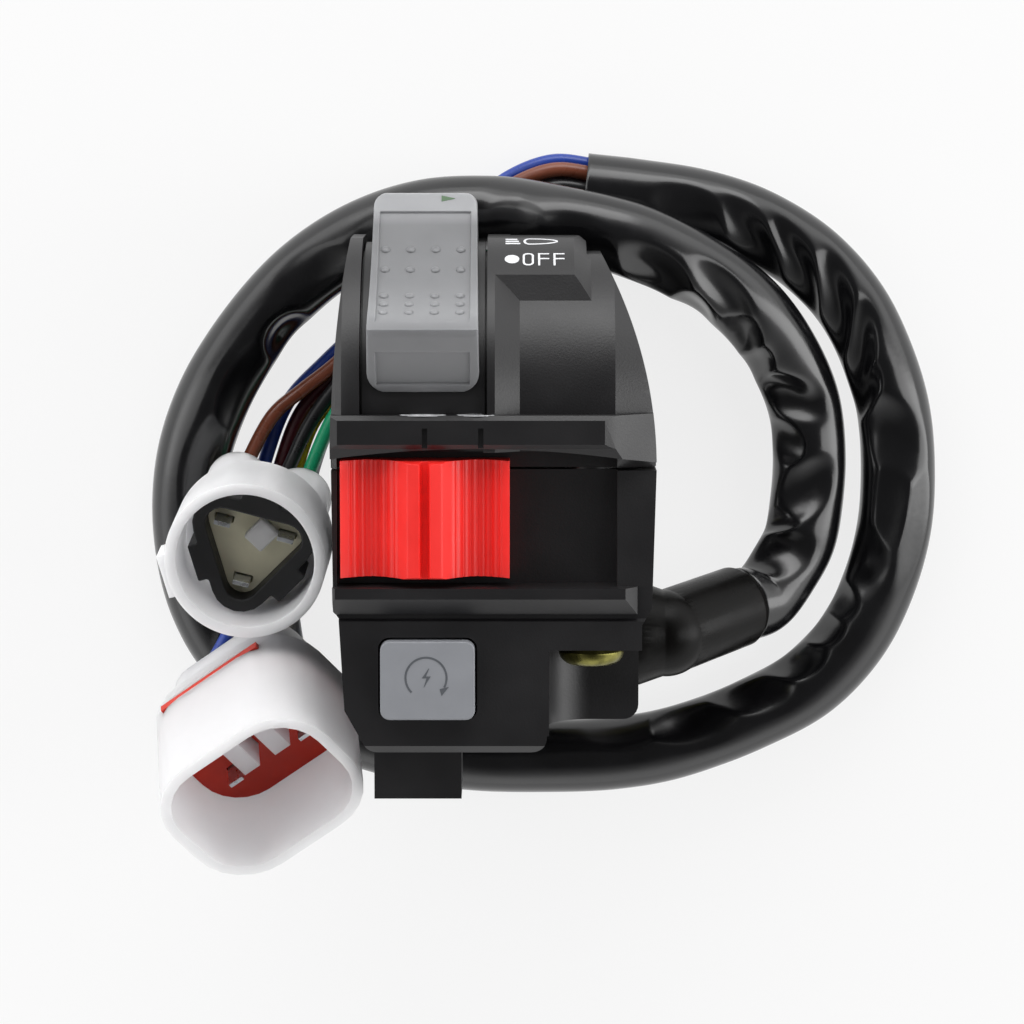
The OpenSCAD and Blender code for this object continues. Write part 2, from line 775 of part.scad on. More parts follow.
module start_terminals() {
    color(brass) for (s = [-1, 1])
        rod_z(1.3, start_base_top, contact_z - 0.6 - start_travel - run, start_x + s * 4.2, start_y);
}

module start_spring() {
    color(steel) translate([start_x, start_y, start_base_top + 0.05])
        spring(start_spring_r, start_wire_r, start_low - start_base_top - 0.1, 5);
}

// Small screws that hold the three terminal bases
base_screw_d = 2;
base_screw_head = 1;
module base_screw(length) {
    pan_screw(base_screw_d, 3.4, base_screw_head, length);
}
module base_screws() {
    color(steel) {
        for (x = light_screw_x)
            lever_radial(x, light_screw_a) translate([0, 0, base_top + seat]) base_screw(2.8);
        for (x = stop_screw_x)
            translate([x, stop_screw_y, stop_cavity_z[0] + stop_base_h]) base_screw(1.1);
        for (s = [-1, 1])
            translate([start_x + s * start_screw_x, start_screw_y, start_base_top]) base_screw(2.4);
    }
}

// Cable boot: a flange in the case, and a tapered sleeve that points along the loom
boot_neck_r = 5;
boot_neck_l = 4.5;
boot_wall_end = [34.2, -22, -10.6];
boot_collar = 4;
boot_flange_l = 2;
boot_start = [column_right + boot_collar, boot_y, boot_z];
boot_way = unit(boot_wall_end - boot_start);
boot_l = norm(boot_wall_end - boot_start);
boot_fn = 64;

module toward(p, v) {
    translate(p) rotate([0, acos(v[2]), atan2(v[1], v[0])]) children();
}

module boot() {
    end_r = boot_end_d / 2;
    flange_r = boot_flange_d / 2;
    color("#1c1c1d") {
        // Neck and flange in the case, and a collar that narrows to the elbow
        toward([column_right - boot_neck_l + seat, boot_y, boot_z], [1, 0, 0])
            rotate_extrude($fn = boot_fn) polygon([
                [0, 0], [boot_neck_r, 0], [boot_neck_r, boot_neck_l - boot_flange_l],
                [flange_r, boot_neck_l - boot_flange_l], [flange_r, boot_neck_l + 0.4],
                [end_r + 0.15, boot_neck_l + boot_collar - seat], [0, boot_neck_l + boot_collar - seat]
            ]);
        translate(boot_start) rotate([0, 90, 0]) sphere(end_r + 0.3, $fn = boot_fn);
        toward(boot_start, boot_way) rotate_extrude($fn = boot_fn) polygon([
            [0, 0], [end_r + 0.15, 0], [end_r, boot_l - 1], [end_r - 0.4, boot_l], [0, boot_l]
        ]);
    }
}

// Sheath: one unbroken tube that leaves the boot, goes round the cases and passes over its own end
sheath_end = boot_wall_end;
sheath_route = [
    sheath_end + 0.02 * boot_way, sheath_end + 4 * boot_way,
    [40.4, -17.4, -15.2], [42.6, -13.6, -16.5], [43.6, -8.6, -17.2], [44, -1.5, -17.5], [43, 6, -17.5],
    [39.2, 13.5, -15], [33.6, 20, -11.6], [26, 25, -9], [20, 27.8, -7.6], [15, 29.3, -7.4], [10, 30.4, -8.2],
    [5, 31.3, -10.8], [0, 31.8, -13], [-9, 31.5, -13.4], [-17, 29, -15.4], [-25, 24, -17], [-32, 17, -17.5],
    [-38, 8, -17.5], [-41.5, -1, -17.5], [-42.5, -8.5, -17.5], [-42, -16, -17.5], [-40.3, -22.5, -17.5],
    [-37, -28.5, -17.5], [-31.5, -34, -17.5], [-25, -38, -17.5], [-18, -41, -17.5], [-10, -43, -17.5],
    [-2, -44, -17.5], [7, -44.2, -17.5], [16, -44, -17.5], [23, -43, -17.5], [29, -41.3, -17.5],
    [36, -38.5, -17.5], [44, -34, -17.5], [50, -27.5, -17.5], [53.5, -20.5, -17.5], [55.7, -12.5, -17.5],
    [56.3, -4.5, -17.5], [55.7, 3.5, -17.5], [53.5, 11, -17.5], [49.6, 18.8, -17.5], [43.6, 25.4, -17.5],
    [36, 30, -17.5], [28, 32.6, -17.5], [20, 34, -17.5], [12.6, 34.9, -17.5]
];
sheath_sides = 10;

// Least gap of the sheath to itself, between rings at least this many places apart
apart = 8;
sheath_gap = min([
    for (i = [0:len(sheath_route) - 1 - apart], j = [i + apart:len(sheath_route) - 1])
        norm(sheath_route[i] - sheath_route[j])
]) - sheath_d;
echo(sheath_least_gap = sheath_gap);

module sheath() {
    color("#161617") tube(sheath_route, sheath_d / 2, sheath_sides, [0, 0, 1]);
}

// Wires: they leave the cut end of the sheath in two layers, pass under it and reach the connectors
sheath_cut = sheath_route[len(sheath_route) - 1];
sheath_out = heading(sheath_route, len(sheath_route) - 1);
loom = [
    sheath_cut + 0.05 * sheath_out, sheath_cut + 4 * sheath_out, [3, 33, -19.6],
    [-1, 29, -20.4], [-4.6, 24.4, -20.4], [-9, 19.4, -20.4], [-15, 14, -20.4], [-21, 8.5, -20.4]
];
// The wires of the four way connector go on under the three way connector
under = concat(loom, [
    [-25.8, 3.4, -20.4], [-28.6, -3.6, -20.4], [-30.4, -11, -20.4], [-31.6, -17.4, -19.4]
]);
loom_ref = [0.6, -0.8, 0];
wire_step = wire_d + 0.25;
// Place of a wire in the loom: across by slot, up by layer, drawn together at the sheath
function loom_wire(route, slot, layer) = [
    for (i = [0:len(route) - 1])
        let (t = heading(route, i), side = unit(cross(t, [0, 0, 1])))
        route[i] + side * slot * wire_step + [0, 0, layer * (wire_d / 2 + 0.05)]
];
wire_sides = 8;

module wire(route, slot, layer, tail) {
    tube(concat(loom_wire(route, slot, layer), tail), wire_d / 2, wire_sides, loom_ref);
}

// Turns a point as a connector is turned: a roll, then a tilt about X and Y
function rolled(v, a) = [v.x * cos(a) - v.y * sin(a), v.x * sin(a) + v.y * cos(a), v.z];
function tilted(v, t) =
    let (y = v.y * cos(t.x) - v.z * sin(t.x), z = v.y * sin(t.x) + v.z * cos(t.x))
    [v.x * cos(t.y) + z * sin(t.y), y, z * cos(t.y) - v.x * sin(t.y)];
// Last points of a wire: straight into its seal at the back of a connector
function plug3_tail(q) = [
    for (d = [-4.6, -2.2, 2])
        plug3_rim + tilted(rolled([pin3_place(q).x, pin3_place(q).y, d - plug3_l], plug3_roll), plug3_tilt)
];
function plug4_tail(q) = [
    for (d = [-3.8, -2, 2])
        plug4_rim + tilted(rolled([pin4_place(q).x, pin4_place(q).y, d - plug4_l], plug4_roll), plug4_tilt)
];

module wire_brown() {
    color("#7a4330") wire(loom, 1, 1, concat([[-26.6, 7, -19.2], [-30.6, 3.6, -18]], plug3_tail(2)));
}
module wire_black() {
    color("#222224") wire(loom, 0, 1, concat([[-25.4, 2.6, -19.2], [-28.4, -3.6, -19]], plug3_tail(0)));
}
module wire_green() {
    color("#1f8f6a") wire(loom, -1, 1, concat([[-22.4, 3, -19]], plug3_tail(1)));
}
module wire_blue() {
    ends = concat([[-35, -21, -14.4], [-35.8, -24.6, -11.2]], plug4_tail(2));
    color("#26408f") wire(under, 1.5, -1, ends);
}
module wire_maroon() {
    ends = concat([[-32.7, -23.8, -13.2], [-34.6, -28.6, -9.6]], plug4_tail(0));
    color("#4a1218") wire(under, 0.5, -1, ends);
}
module wire_yellow() {
    color("#c8b400") wire(under, -0.5, -1, concat([[-30.6, -21.6, -15]], plug4_tail(3)));
}
module wire_grey() {
    color("#8d9094") wire(under, -1.5, -1, concat([[-28, -22.4, -14]], plug4_tail(1)));
}

// Three way connector, with its socket along its own +Z and its rim at zero
plug3_rim = [-32.7, -13.2, 11];
plug3_tilt = [11, -3, 0];
plug3_roll = 165;
module at_plug3() {
    translate(plug3_rim) rotate(plug3_tilt) rotate([0, 0, plug3_roll]) children();
}
plug3_in = plug3_d / 2 - plug_wall;
pin3_r = 5;
lobe_r = 4.4;
wire_seal_r = 2.4;
wire_seal_l = 5;
wire_seal_out = 0.8;
seal3_reach = plug3_in - 0.2;
seal3_corner = 4;
seal3_wall = 1.8;
tab3_w = 5.2;
tab3_reach = plug3_in * 0.86;
insert3_reach = seal3_reach - seal3_wall;
insert3_top = 8;
seal3_top = 4.8;
function pin3_place(q) = pin3_r * [cos(90 + 120 * q), sin(90 + 120 * q)];

module plug3_shell() {
    color(white) at_plug3() difference() {
        union() {
            rotate_extrude($fn = round_fn) polygon([
                [0, -plug3_depth - 2], [plug3_d / 2 - 1, -plug3_depth - 2], [plug3_d / 2, -plug3_depth + 0.4],
                [plug3_d / 2, 0], [0, 0]
            ]);
            translate([0, 0, -plug3_l + 4])
                cylinder(r = 6.4, h = plug3_l - plug3_depth - 4, $fn = 64);
            for (q = [0:2]) translate([pin3_place(q)[0], pin3_place(q)[1], -plug3_l])
                cylinder(r = lobe_r, h = plug3_l - plug3_depth, $fn = 64);
            // Latch ramp on the outside of the collar
            rotate([0, 0, -60]) translate([-3, plug3_d / 2 - 1, -7]) cube([6, 2, 5]);
        }
        translate([0, 0, -plug3_depth]) cylinder(r = plug3_in, h = far, $fn = round_fn);
        for (q = [0:2]) translate([pin3_place(q)[0], pin3_place(q)[1], -plug3_l - 1]) {
            cylinder(r = wire_seal_r + seat, h = 1 + wire_seal_l, $fn = 48);
            cylinder(r = 1.5, h = plug3_l, $fn = 48);
        }
    }
}

module plug3_seal() {
    color("#1b1b1c") at_plug3() translate([0, 0, -plug3_depth]) linear_extrude(plug3_depth - seal3_top)
        difference() {
            union() {
                polygon(round_triangle(seal3_reach, seal3_corner));
                for (q = [0:2]) rotate([0, 0, 120 * q + 180])
                    translate([-tab3_w / 2, 0]) square([tab3_w, tab3_reach]);
            }
            polygon(round_triangle(insert3_reach + seat, seal3_corner - seal3_wall));
        }
}

module plug3_insert() {
    color("#b8b49a") at_plug3() translate([0, 0, -plug3_depth]) difference() {
        union() {
            linear_extrude(plug3_depth - insert3_top)
                polygon(round_triangle(insert3_reach, seal3_corner - seal3_wall));
            rotate([0, 0, 150]) translate([-1.5, 0.4, 0]) cube([3, 3.4, plug3_depth - insert3_top + 1.6]);
        }
        for (q = [0:2]) translate([pin3_place(q)[0], pin3_place(q)[1], 0])
            translate([-1.3, -0.45, -1]) cube([2.6, 0.9, 12]);
    }
}

module plug3_pins() {
    color(steel) at_plug3() for (q = [0:2])
        translate([pin3_place(q)[0] - 1.1, pin3_place(q)[1] - 0.3, -plug3_depth - 3]) cube([2.2, 0.6, 9]);
}

module plug3_wire_seals() {
    color("#d9d4c8") at_plug3() for (q = [0:2])
        translate([pin3_place(q)[0], pin3_place(q)[1], -plug3_l]) wire_seal();
}
// A sleeve round a wire, standing a little out of the back of a shell
module wire_seal() {
    translate([0, 0, -wire_seal_out]) difference() {
        cylinder(r = wire_seal_r, h = wire_seal_l + wire_seal_out - 1, $fn = 48);
        translate([0, 0, -1]) cylinder(r = wire_d / 2 + seat, h = wire_seal_l + 2, $fn = 48);
    }
}

// Four way connector, with its socket along its own +Z and its rim at zero
plug4_rim = [-30.4, -44.2, 15];
plug4_tilt = [28, 6.5, 0];
plug4_roll = 40;
module at_plug4() {
    translate(plug4_rim) rotate(plug4_tilt) rotate([0, 0, plug4_roll]) children();
}
plug4_corner = 8;
pin4_x = 6;
pin4_y = 2.8;
retainer_h = 2.4;
slit_w = plug4_w * 0.64;
slit_h = 1.1;
post_w = 2.6;
post_y = [-2, 5];
post_h = 7;
function pin4_place(q) = [[-1, 1][q % 2] * pin4_x, [-1, 1][floor(q / 2)] * pin4_y];

module plug4_inside(wall) {
    polygon(rounded(plug4_w - 2 * wall, plug4_h - 2 * wall, plug4_corner - wall));
}
module plug4_posts(room) {
    for (s = [-1, 1]) translate([s * post_w - post_w / 2 - room, post_y[0] - room])
        square([post_w + 2 * room, post_y[1] - post_y[0] + 2 * room]);
}

module plug4_shell() {
    rear_w = plug4_w - 6;
    rear_h = plug4_h - 5;
    color(white) at_plug4() difference() {
        union() {
            translate([0, 0, -plug4_depth - 1.6]) linear_extrude(plug4_depth + 1.6)
                polygon(rounded(plug4_w, plug4_h, plug4_corner));
            translate([0, 0, -plug4_l]) linear_extrude(plug4_l - plug4_depth)
                polygon(rounded(rear_w, rear_h, 5));
        }
        difference() {
            translate([0, 0, -plug4_depth]) linear_extrude(far) plug4_inside(plug_wall);
            // Two posts stand in the socket
            translate([0, 0, -plug4_depth - 1]) linear_extrude(post_h + 1) plug4_posts(0);
        }
        for (q = [0:3]) translate([pin4_place(q)[0], pin4_place(q)[1], -plug4_l - 1]) {
            cylinder(r = wire_seal_r + seat, h = 1 + wire_seal_l, $fn = 48);
            cylinder(r = 1.5, h = plug4_l - plug4_depth + 2, $fn = 48);
        }
        // Slit for the retainer's edge
        translate([-slit_w / 2, plug4_h / 2 - plug_wall - 1, -plug4_depth]) cube([slit_w, 4, slit_h]);
    }
}

module plug4_retainer() {
    color("#b5230f") at_plug4() translate([0, 0, -plug4_depth]) difference() {
        union() {
            linear_extrude(retainer_h - seat)
                plug4_inside(plug_wall + seat);
            translate([-slit_w / 2 + 0.1, 0, 0])
                cube([slit_w - 0.2, plug4_h / 2 - 0.3, slit_h - seat]);
        }
        translate([0, 0, -1]) linear_extrude(far) plug4_posts(seat);
        for (q = [0:3]) translate([pin4_place(q)[0] - 1.3, pin4_place(q)[1] - 0.45, -1]) cube([2.6, 0.9, 6]);
    }
}

module plug4_pins() {
    color(steel) at_plug4() for (q = [0:3])
        translate([pin4_place(q)[0] - 1.1, pin4_place(q)[1] - 0.3, -plug4_depth - 3]) cube([2.2, 0.6, 9]);
}

module plug4_wire_seals() {
    color("#d9d4c8") at_plug4() for (q = [0:3])
        translate([pin4_place(q)[0], pin4_place(q)[1], -plug4_l]) wire_seal();
}

upper_case();
lower_case();
clamp_screws();
base_screws();
light_knob();
light_drum();
light_contact();
light_base();
light_terminals();
light_detent_ball();
light_detent_spring();
stop_knob();
stop_carrier();
stop_contact();
stop_base();
stop_terminals();
stop_detent_ball();
stop_detent_spring();
start_button();
start_contact();
start_base();
start_terminals();
start_spring();
boot();
sheath();
wire_brown();
wire_black();
wire_green();
wire_blue();
wire_maroon();
wire_yellow();
wire_grey();
plug3_shell();
plug3_seal();
plug3_insert();
plug3_pins();
plug3_wire_seals();
plug4_shell();
plug4_retainer();
plug4_pins();
plug4_wire_seals();
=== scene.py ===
"""Looks of the handlebar switch cluster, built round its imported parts.

X runs along the handlebar, Y from the lower case to the upper case and Z out of the control face.
The part lies on its back on a pale floor, as in the photograph.
"""

import math

import bmesh
import bpy
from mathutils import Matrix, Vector, noise


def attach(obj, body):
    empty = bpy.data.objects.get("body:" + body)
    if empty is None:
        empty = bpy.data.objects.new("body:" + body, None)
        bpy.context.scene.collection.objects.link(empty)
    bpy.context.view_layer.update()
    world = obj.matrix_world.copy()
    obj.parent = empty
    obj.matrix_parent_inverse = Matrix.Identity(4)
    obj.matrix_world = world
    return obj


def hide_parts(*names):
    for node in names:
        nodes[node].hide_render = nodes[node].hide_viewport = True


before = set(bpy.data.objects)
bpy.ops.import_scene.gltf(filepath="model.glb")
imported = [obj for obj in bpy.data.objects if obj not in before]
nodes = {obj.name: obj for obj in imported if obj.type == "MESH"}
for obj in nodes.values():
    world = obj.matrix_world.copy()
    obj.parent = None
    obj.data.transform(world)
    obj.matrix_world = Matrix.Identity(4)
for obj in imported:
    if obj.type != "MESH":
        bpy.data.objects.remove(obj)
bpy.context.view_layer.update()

MM = 0.001


# Camera: distances in metres, with the width that it sees at its target, and its sensor in millimetres

VIEW_TARGET = Vector((2.6, -5.4, 22)) * MM
VIEW_DISTANCE = 0.5
VIEW_TILT = math.radians(6.5)
VIEW_WIDTH = 0.1321
NEAREST_VIEW = 0.01
SENSOR_WIDTH = 36


def add_camera():
    """A long lens above the control face, a little towards the upper case."""
    data = bpy.data.cameras.new("camera")
    data.sensor_width = SENSOR_WIDTH
    data.lens = SENSOR_WIDTH * VIEW_DISTANCE / VIEW_WIDTH
    data.clip_start = NEAREST_VIEW
    camera = bpy.data.objects.new("camera", data)
    back = Vector((0, math.sin(VIEW_TILT), math.cos(VIEW_TILT)))
    camera.location = VIEW_TARGET + back * VIEW_DISTANCE
    camera.rotation_euler = (-VIEW_TILT, 0, 0)
    bpy.context.scene.collection.objects.link(camera)
    bpy.context.scene.camera = camera


add_camera()


# Materials

CLOUD_LOW = 0.3
CLOUD_HIGH = 0.7
BROAD_DETAIL = 3
FINE_DETAIL = 2
BUMP_STRENGTH = 0.6
# Places of a mix node's colour sockets, because its other sockets have the same names
MIX_FIRST = 6
MIX_SECOND = 7
MIX_RESULT = 2


def linear(hex_colour):
    """An RGBA colour for a shader, from a #rrggbb screen colour."""
    parts = [int(hex_colour[i:i + 2], 16) / 255 for i in (1, 3, 5)]
    return [c / 12.92 if c <= 0.04045 else ((c + 0.055) / 1.055) ** 2.4 for c in parts] + [1.0]


def shade(colour, factor):
    """A colour made darker or lighter."""
    return [min(1.0, c * factor) for c in colour[:3]] + [1.0]


def grey_ramp(tree, stops):
    """A ramp of greys, from pairs of a position and a level."""
    ramp = tree.nodes.new("ShaderNodeValToRGB")
    while len(ramp.color_ramp.elements) < len(stops):
        ramp.color_ramp.elements.new(1.0)
    for element, (position, level) in zip(ramp.color_ramp.elements, stops):
        element.position = position
        element.color = (level, level, level, 1)
    return ramp


def paint_light_along_y(tree, place, tint, painted_light_bands):
    """A colour with painted light and shade: lighter or darker by its place along Y."""
    first, last = painted_light_bands[0][0], painted_light_bands[-1][0]
    parts = tree.nodes.new("ShaderNodeSeparateXYZ")
    tree.links.new(place, parts.inputs["Vector"])
    reach = tree.nodes.new("ShaderNodeMapRange")
    reach.inputs["From Min"].default_value = first * MM
    reach.inputs["From Max"].default_value = last * MM
    tree.links.new(parts.outputs["Y"], reach.inputs["Value"])
    ramp = grey_ramp(tree, [((y - first) / (last - first), level) for y, level in painted_light_bands])
    tree.links.new(reach.outputs["Result"], ramp.inputs["Fac"])
    mix = tree.nodes.new("ShaderNodeMix")
    mix.data_type = "RGBA"
    mix.blend_type = "MULTIPLY"
    mix.inputs["Factor"].default_value = 1.0
    tree.links.new(tint, mix.inputs[MIX_FIRST])
    tree.links.new(ramp.outputs["Color"], mix.inputs[MIX_SECOND])
    return mix.outputs[MIX_RESULT]


def surface(name, hex_colour, roughness, mottle=0.08, mottle_size=4.0, grain=0.02, grain_size=0.35,
            rough_swing=0.06, painted_light_bands=None, **sockets):
    """A moulded or drawn surface: clouded colour, uneven gloss and a fine grain.

    Sizes are in millimetres, and grain is the depth of the bump. Painted light bands are pairs of a place
    along Y and a
    lightness there: painted highlight and shade for a piece that is thin in one part and thick in another,
    lighter where light falls on it or shines through it.
    """
    material = bpy.data.materials.new(name)
    material.use_nodes = True
    tree = material.node_tree
    shader = tree.nodes["Principled BSDF"]
    shader.inputs["Subsurface Radius"].default_value = (1, 1, 1)
    for socket, value in sockets.items():
        shader.inputs[socket.replace("_", " ")].default_value = value
    place = tree.nodes.new("ShaderNodeTexCoord").outputs["Object"]

    def cloud(size, detail):
        """Soft noise whose spots are about a size across."""
        node = tree.nodes.new("ShaderNodeTexNoise")
        node.inputs["Scale"].default_value = 1 / (size * MM)
        node.inputs["Detail"].default_value = detail
        tree.links.new(place, node.inputs["Vector"])
        return node.outputs["Fac"]

    broad = cloud(mottle_size, BROAD_DETAIL)
    fine = cloud(grain_size, FINE_DETAIL)
    colour = linear(hex_colour)
    ramp = tree.nodes.new("ShaderNodeValToRGB")
    ramp.color_ramp.elements[0].position = CLOUD_LOW
    ramp.color_ramp.elements[1].position = CLOUD_HIGH
    ramp.color_ramp.elements[0].color = shade(colour, 1 - mottle)
    ramp.color_ramp.elements[1].color = shade(colour, 1 + mottle)
    tree.links.new(broad, ramp.inputs["Fac"])
    tint = ramp.outputs["Color"]
    # Painted light and shade by place along Y, for pieces given such bands
    if painted_light_bands:
        tint = paint_light_along_y(tree, place, tint, painted_light_bands)
    tree.links.new(tint, shader.inputs["Base Color"])
    gloss = tree.nodes.new("ShaderNodeMapRange")
    gloss.inputs["From Min"].default_value = CLOUD_LOW
    gloss.inputs["From Max"].default_value = CLOUD_HIGH
    gloss.inputs["To Min"].default_value = roughness - rough_swing
    gloss.inputs["To Max"].default_value = roughness + rough_swing
    tree.links.new(broad, gloss.inputs["Value"])
    tree.links.new(gloss.outputs["Result"], shader.inputs["Roughness"])
    bump = tree.nodes.new("ShaderNodeBump")
    bump.inputs["Strength"].default_value = BUMP_STRENGTH
    bump.inputs["Distance"].default_value = grain * MM
    tree.links.new(fine, bump.inputs["Height"])
    tree.links.new(bump.outputs["Normal"], shader.inputs["Normal"])
    return material


def metal(name, hex_colour, roughness, **more):
    """A bare or plated metal."""
    return surface(name, hex_colour, roughness, Metallic=1.0, **more)


case_black = surface("case_black", "#131214", 0.42, mottle=0.1, mottle_size=9, grain=0.03, grain_size=0.3,
                     rough_swing=0.04, Specular_IOR_Level=0.62)
# The knob's bands are painted light and shade: a lighter ridge and upper cap where light falls on it and
# shines through it, darker between
knob_grey = surface("knob_grey", "#b9babd", 0.34, mottle=0.04, mottle_size=5, grain=0.01, grain_size=0.6,
                    painted_light_bands=[(13, 0.38), (18.6, 0.44), (20.2, 0.54), (24, 0.42), (31, 0.38), (33, 0.66)],
                    Subsurface_Weight=0.45, Subsurface_Scale=0.002)
stop_red = surface("stop_red", "#fb2c27", 0.4, mottle=0.04, grain=0.012,
                   Subsurface_Weight=0.1, Subsurface_Scale=0.001)
start_grey = surface("start_grey", "#8b8d92", 0.5, mottle=0.04, grain=0.012)
zinc_gold = metal("zinc_gold", "#7c7842", 0.32, mottle=0.35, mottle_size=1.5, grain=0.01)
boot_rubber = surface("boot_rubber", "#090807", 0.32, mottle=0.15, grain=0.02, grain_size=0.5,
                      Specular_IOR_Level=0.14)
vinyl_black = surface("vinyl_black", "#0d0d0f", 0.2, mottle=0.2, mottle_size=6, grain=0.012, grain_size=0.8,
                      rough_swing=0.05, Specular_IOR_Level=0.75)
shell_white = surface("shell_white", "#e8e8eb", 0.36, mottle=0.012, grain=0.01, grain_size=0.5,
                      Subsurface_Weight=1.0, Subsurface_Scale=0.006)
seal_black = surface("seal_black", "#131314", 0.5, mottle=0.15, grain=0.02)
insert_cream = surface("insert_cream", "#eee9cb", 0.45, mottle=0.06, grain=0.015,
                       Subsurface_Weight=0.2, Subsurface_Scale=0.002)
retainer_red = surface("retainer_red", "#d42c10", 0.4, mottle=0.06, grain=0.012)
wire_seal_cream = surface("wire_seal_cream", "#d9d4c8", 0.5, mottle=0.05)
tin = metal("tin", "#c9cbce", 0.3, mottle=0.1, mottle_size=1.2, grain=0.006)
steel = metal("steel", "#b9bcc0", 0.28, mottle=0.1, mottle_size=1.2, grain=0.006)
brass = metal("brass", "#c9a24a", 0.3, mottle=0.12, mottle_size=1.2, grain=0.006)
phenolic = surface("phenolic", "#5a4632", 0.5, mottle=0.15, mottle_size=1)
acetal = surface("acetal", "#d8d8d4", 0.4, mottle=0.03)
ink_white = surface("ink_white", "#e2e3e6", 0.55, mottle=0.03, mottle_size=1, grain=0.004)
ink_green = surface("ink_green", "#4f6a4c", 0.55, mottle=0.08, mottle_size=1, grain=0.004)
ink_grey = surface("ink_grey", "#55585d", 0.6, mottle=0.05, mottle_size=1, grain=0.004)
wire_colours = {
    "wire_brown": "#7a4330", "wire_black": "#1b1b1d", "wire_green": "#1f9a6c",
    "wire_blue": "#22409a", "wire_maroon": "#431018", "wire_yellow": "#d0bc08", "wire_grey": "#8d9094",
}
wire_skins = {
    name: surface(name + "_pvc", colour, 0.3, mottle=0.06, grain=0.006, grain_size=0.5)
    for name, colour in wire_colours.items()
}


# Cords: the sheath and the wires that leave its cut end, in millimetres

SHEATH_D = 10
WIRE_D = 2
# Clearances from the boot to the sheath, between wires side by side and between their two layers
SHEATH_GAP = 0.02
WIRE_GAP = 0.25
LAYER_GAP = 0.1
# How far inside the sheath's mouth the wires start, and the straight lead of a cord
WIRE_INSET = 1.8
CORD_LEAD = 4
BOOT_START = Vector((23.4, -24.5, -1))
BOOT_END = Vector((34.2, -22, -10.6))
BOOT_WAY = (BOOT_END - BOOT_START).normalized()
SHEATH_ROUTE = [BOOT_END + BOOT_WAY * SHEATH_GAP, BOOT_END + BOOT_WAY * CORD_LEAD] + [
    Vector(p) for p in [
        (40.4, -17.4, -15.2), (42.6, -13.6, -16.5), (43.6, -8.6, -17.2), (44, -1.5, -17.5), (43, 6, -17.5),
        (39.2, 13.5, -15), (33.6, 20, -11.6), (26, 25, -9), (20, 27.8, -7.6), (15, 29.3, -7.4),
        (10, 30.4, -8.2), (5, 31.3, -10.8), (0, 31.8, -13), (-9, 31.5, -13.4), (-17, 29, -15.4),
        (-25, 24, -17), (-32, 17, -17.5), (-38, 8, -17.5), (-41.5, -1, -17.5), (-42.5, -8.5, -17.5),
        (-42, -16, -17.5), (-40.3, -22.5, -17.5), (-37, -28.5, -17.5), (-31.5, -34, -17.5),
        (-25, -38, -17.5), (-18, -41, -17.5), (-10, -43, -17.5), (-2, -44, -17.5), (7, -44.2, -17.5),
        (16, -44, -17.5), (23, -43, -17.5), (29, -41.3, -17.5), (36, -38.5, -17.5), (44, -34, -17.5),
        (50, -27.5, -17.5), (53.5, -20.5, -17.5), (55.7, -12.5, -17.5), (56.3, -4.5, -17.5),
        (55.7, 3.5, -17.5), (53.5, 11, -17.5), (49.6, 18.8, -17.5), (43.6, 25.4, -17.5), (36, 30, -17.5),
        (28, 32.6, -17.5), (20, 34, -17.5), (12.6, 34.9, -17.5),
    ]
]
SHEATH_CUT = SHEATH_ROUTE[-1]
SHEATH_OUT = (SHEATH_ROUTE[-1] - SHEATH_ROUTE[-2]).normalized()
LOOM = [SHEATH_CUT - SHEATH_OUT * WIRE_INSET, SHEATH_CUT + SHEATH_OUT * CORD_LEAD] + [
    Vector(p) for p in [
        (3, 33, -19.6), (-1, 29, -20.4), (-4.6, 24.4, -20.4), (-9, 19.4, -20.4), (-15, 14, -20.4),
        (-21, 8.5, -20.4),
    ]
]
UNDER = LOOM + [
    Vector(p) for p in [
        (-25.8, 3.4, -20.4), (-28.6, -3.6, -20.4), (-30.4, -11, -20.4), (-31.6, -17.4, -19.4),
    ]
]
WIRE_STEP = WIRE_D + WIRE_GAP
WIRE_LIFT = (WIRE_D + LAYER_GAP) / 2
# The connectors: rim, turns in degrees, length, and how far in from the back a wire's last points lie
PLUG3 = {"name": "plug3", "rim": Vector((-32.7, -13.2, 11)), "tilt": (11, -3), "roll": 165, "length": 24,
         "tail": (-4.6, -2.2, 2)}
PLUG4 = {"name": "plug4", "rim": Vector((-30.4, -44.2, 15)), "tilt": (28, 6.5), "roll": 40, "length": 25,
         "tail": (-3.8, -2, 2)}
PIN3_RING = 5
PIN3_TURNS = [math.radians(90 + 120 * q) for q in range(3)]
PIN3_PLACES = [(PIN3_RING * math.cos(a), PIN3_RING * math.sin(a)) for a in PIN3_TURNS]
PIN4_X = 6
PIN4_Y = 2.8
PIN4_PLACES = [(x, y) for y in (-PIN4_Y, PIN4_Y) for x in (-PIN4_X, PIN4_X)]


def in_plug(plug, x, y, z):
    """A point of a connector in the part's frame, from its own axes with the rim at zero."""
    roll = math.radians(plug["roll"])
    tilt_x, tilt_y = (math.radians(a) for a in plug["tilt"])
    x, y = x * math.cos(roll) - y * math.sin(roll), x * math.sin(roll) + y * math.cos(roll)
    y, z = y * math.cos(tilt_x) - z * math.sin(tilt_x), y * math.sin(tilt_x) + z * math.cos(tilt_x)
    x, z = x * math.cos(tilt_y) + z * math.sin(tilt_y), z * math.cos(tilt_y) - x * math.sin(tilt_y)
    return plug["rim"] + Vector((x, y, z))


def wire_route(loom, slot, layer, between, plug, pin):
    """A wire's points: its place in the loom, its own points, then straight into its seal."""
    points = []
    for i, p in enumerate(loom):
        way = (loom[min(i + 1, len(loom) - 1)] - loom[max(i - 1, 0)]).normalized()
        side = way.cross(Vector((0, 0, 1))).normalized()
        points.append(p + side * slot * WIRE_STEP + Vector((0, 0, layer * WIRE_LIFT)))
    points += [Vector(p) for p in between]
    points += [in_plug(plug, *pin, d - plug["length"]) for d in plug["tail"]]
    return points


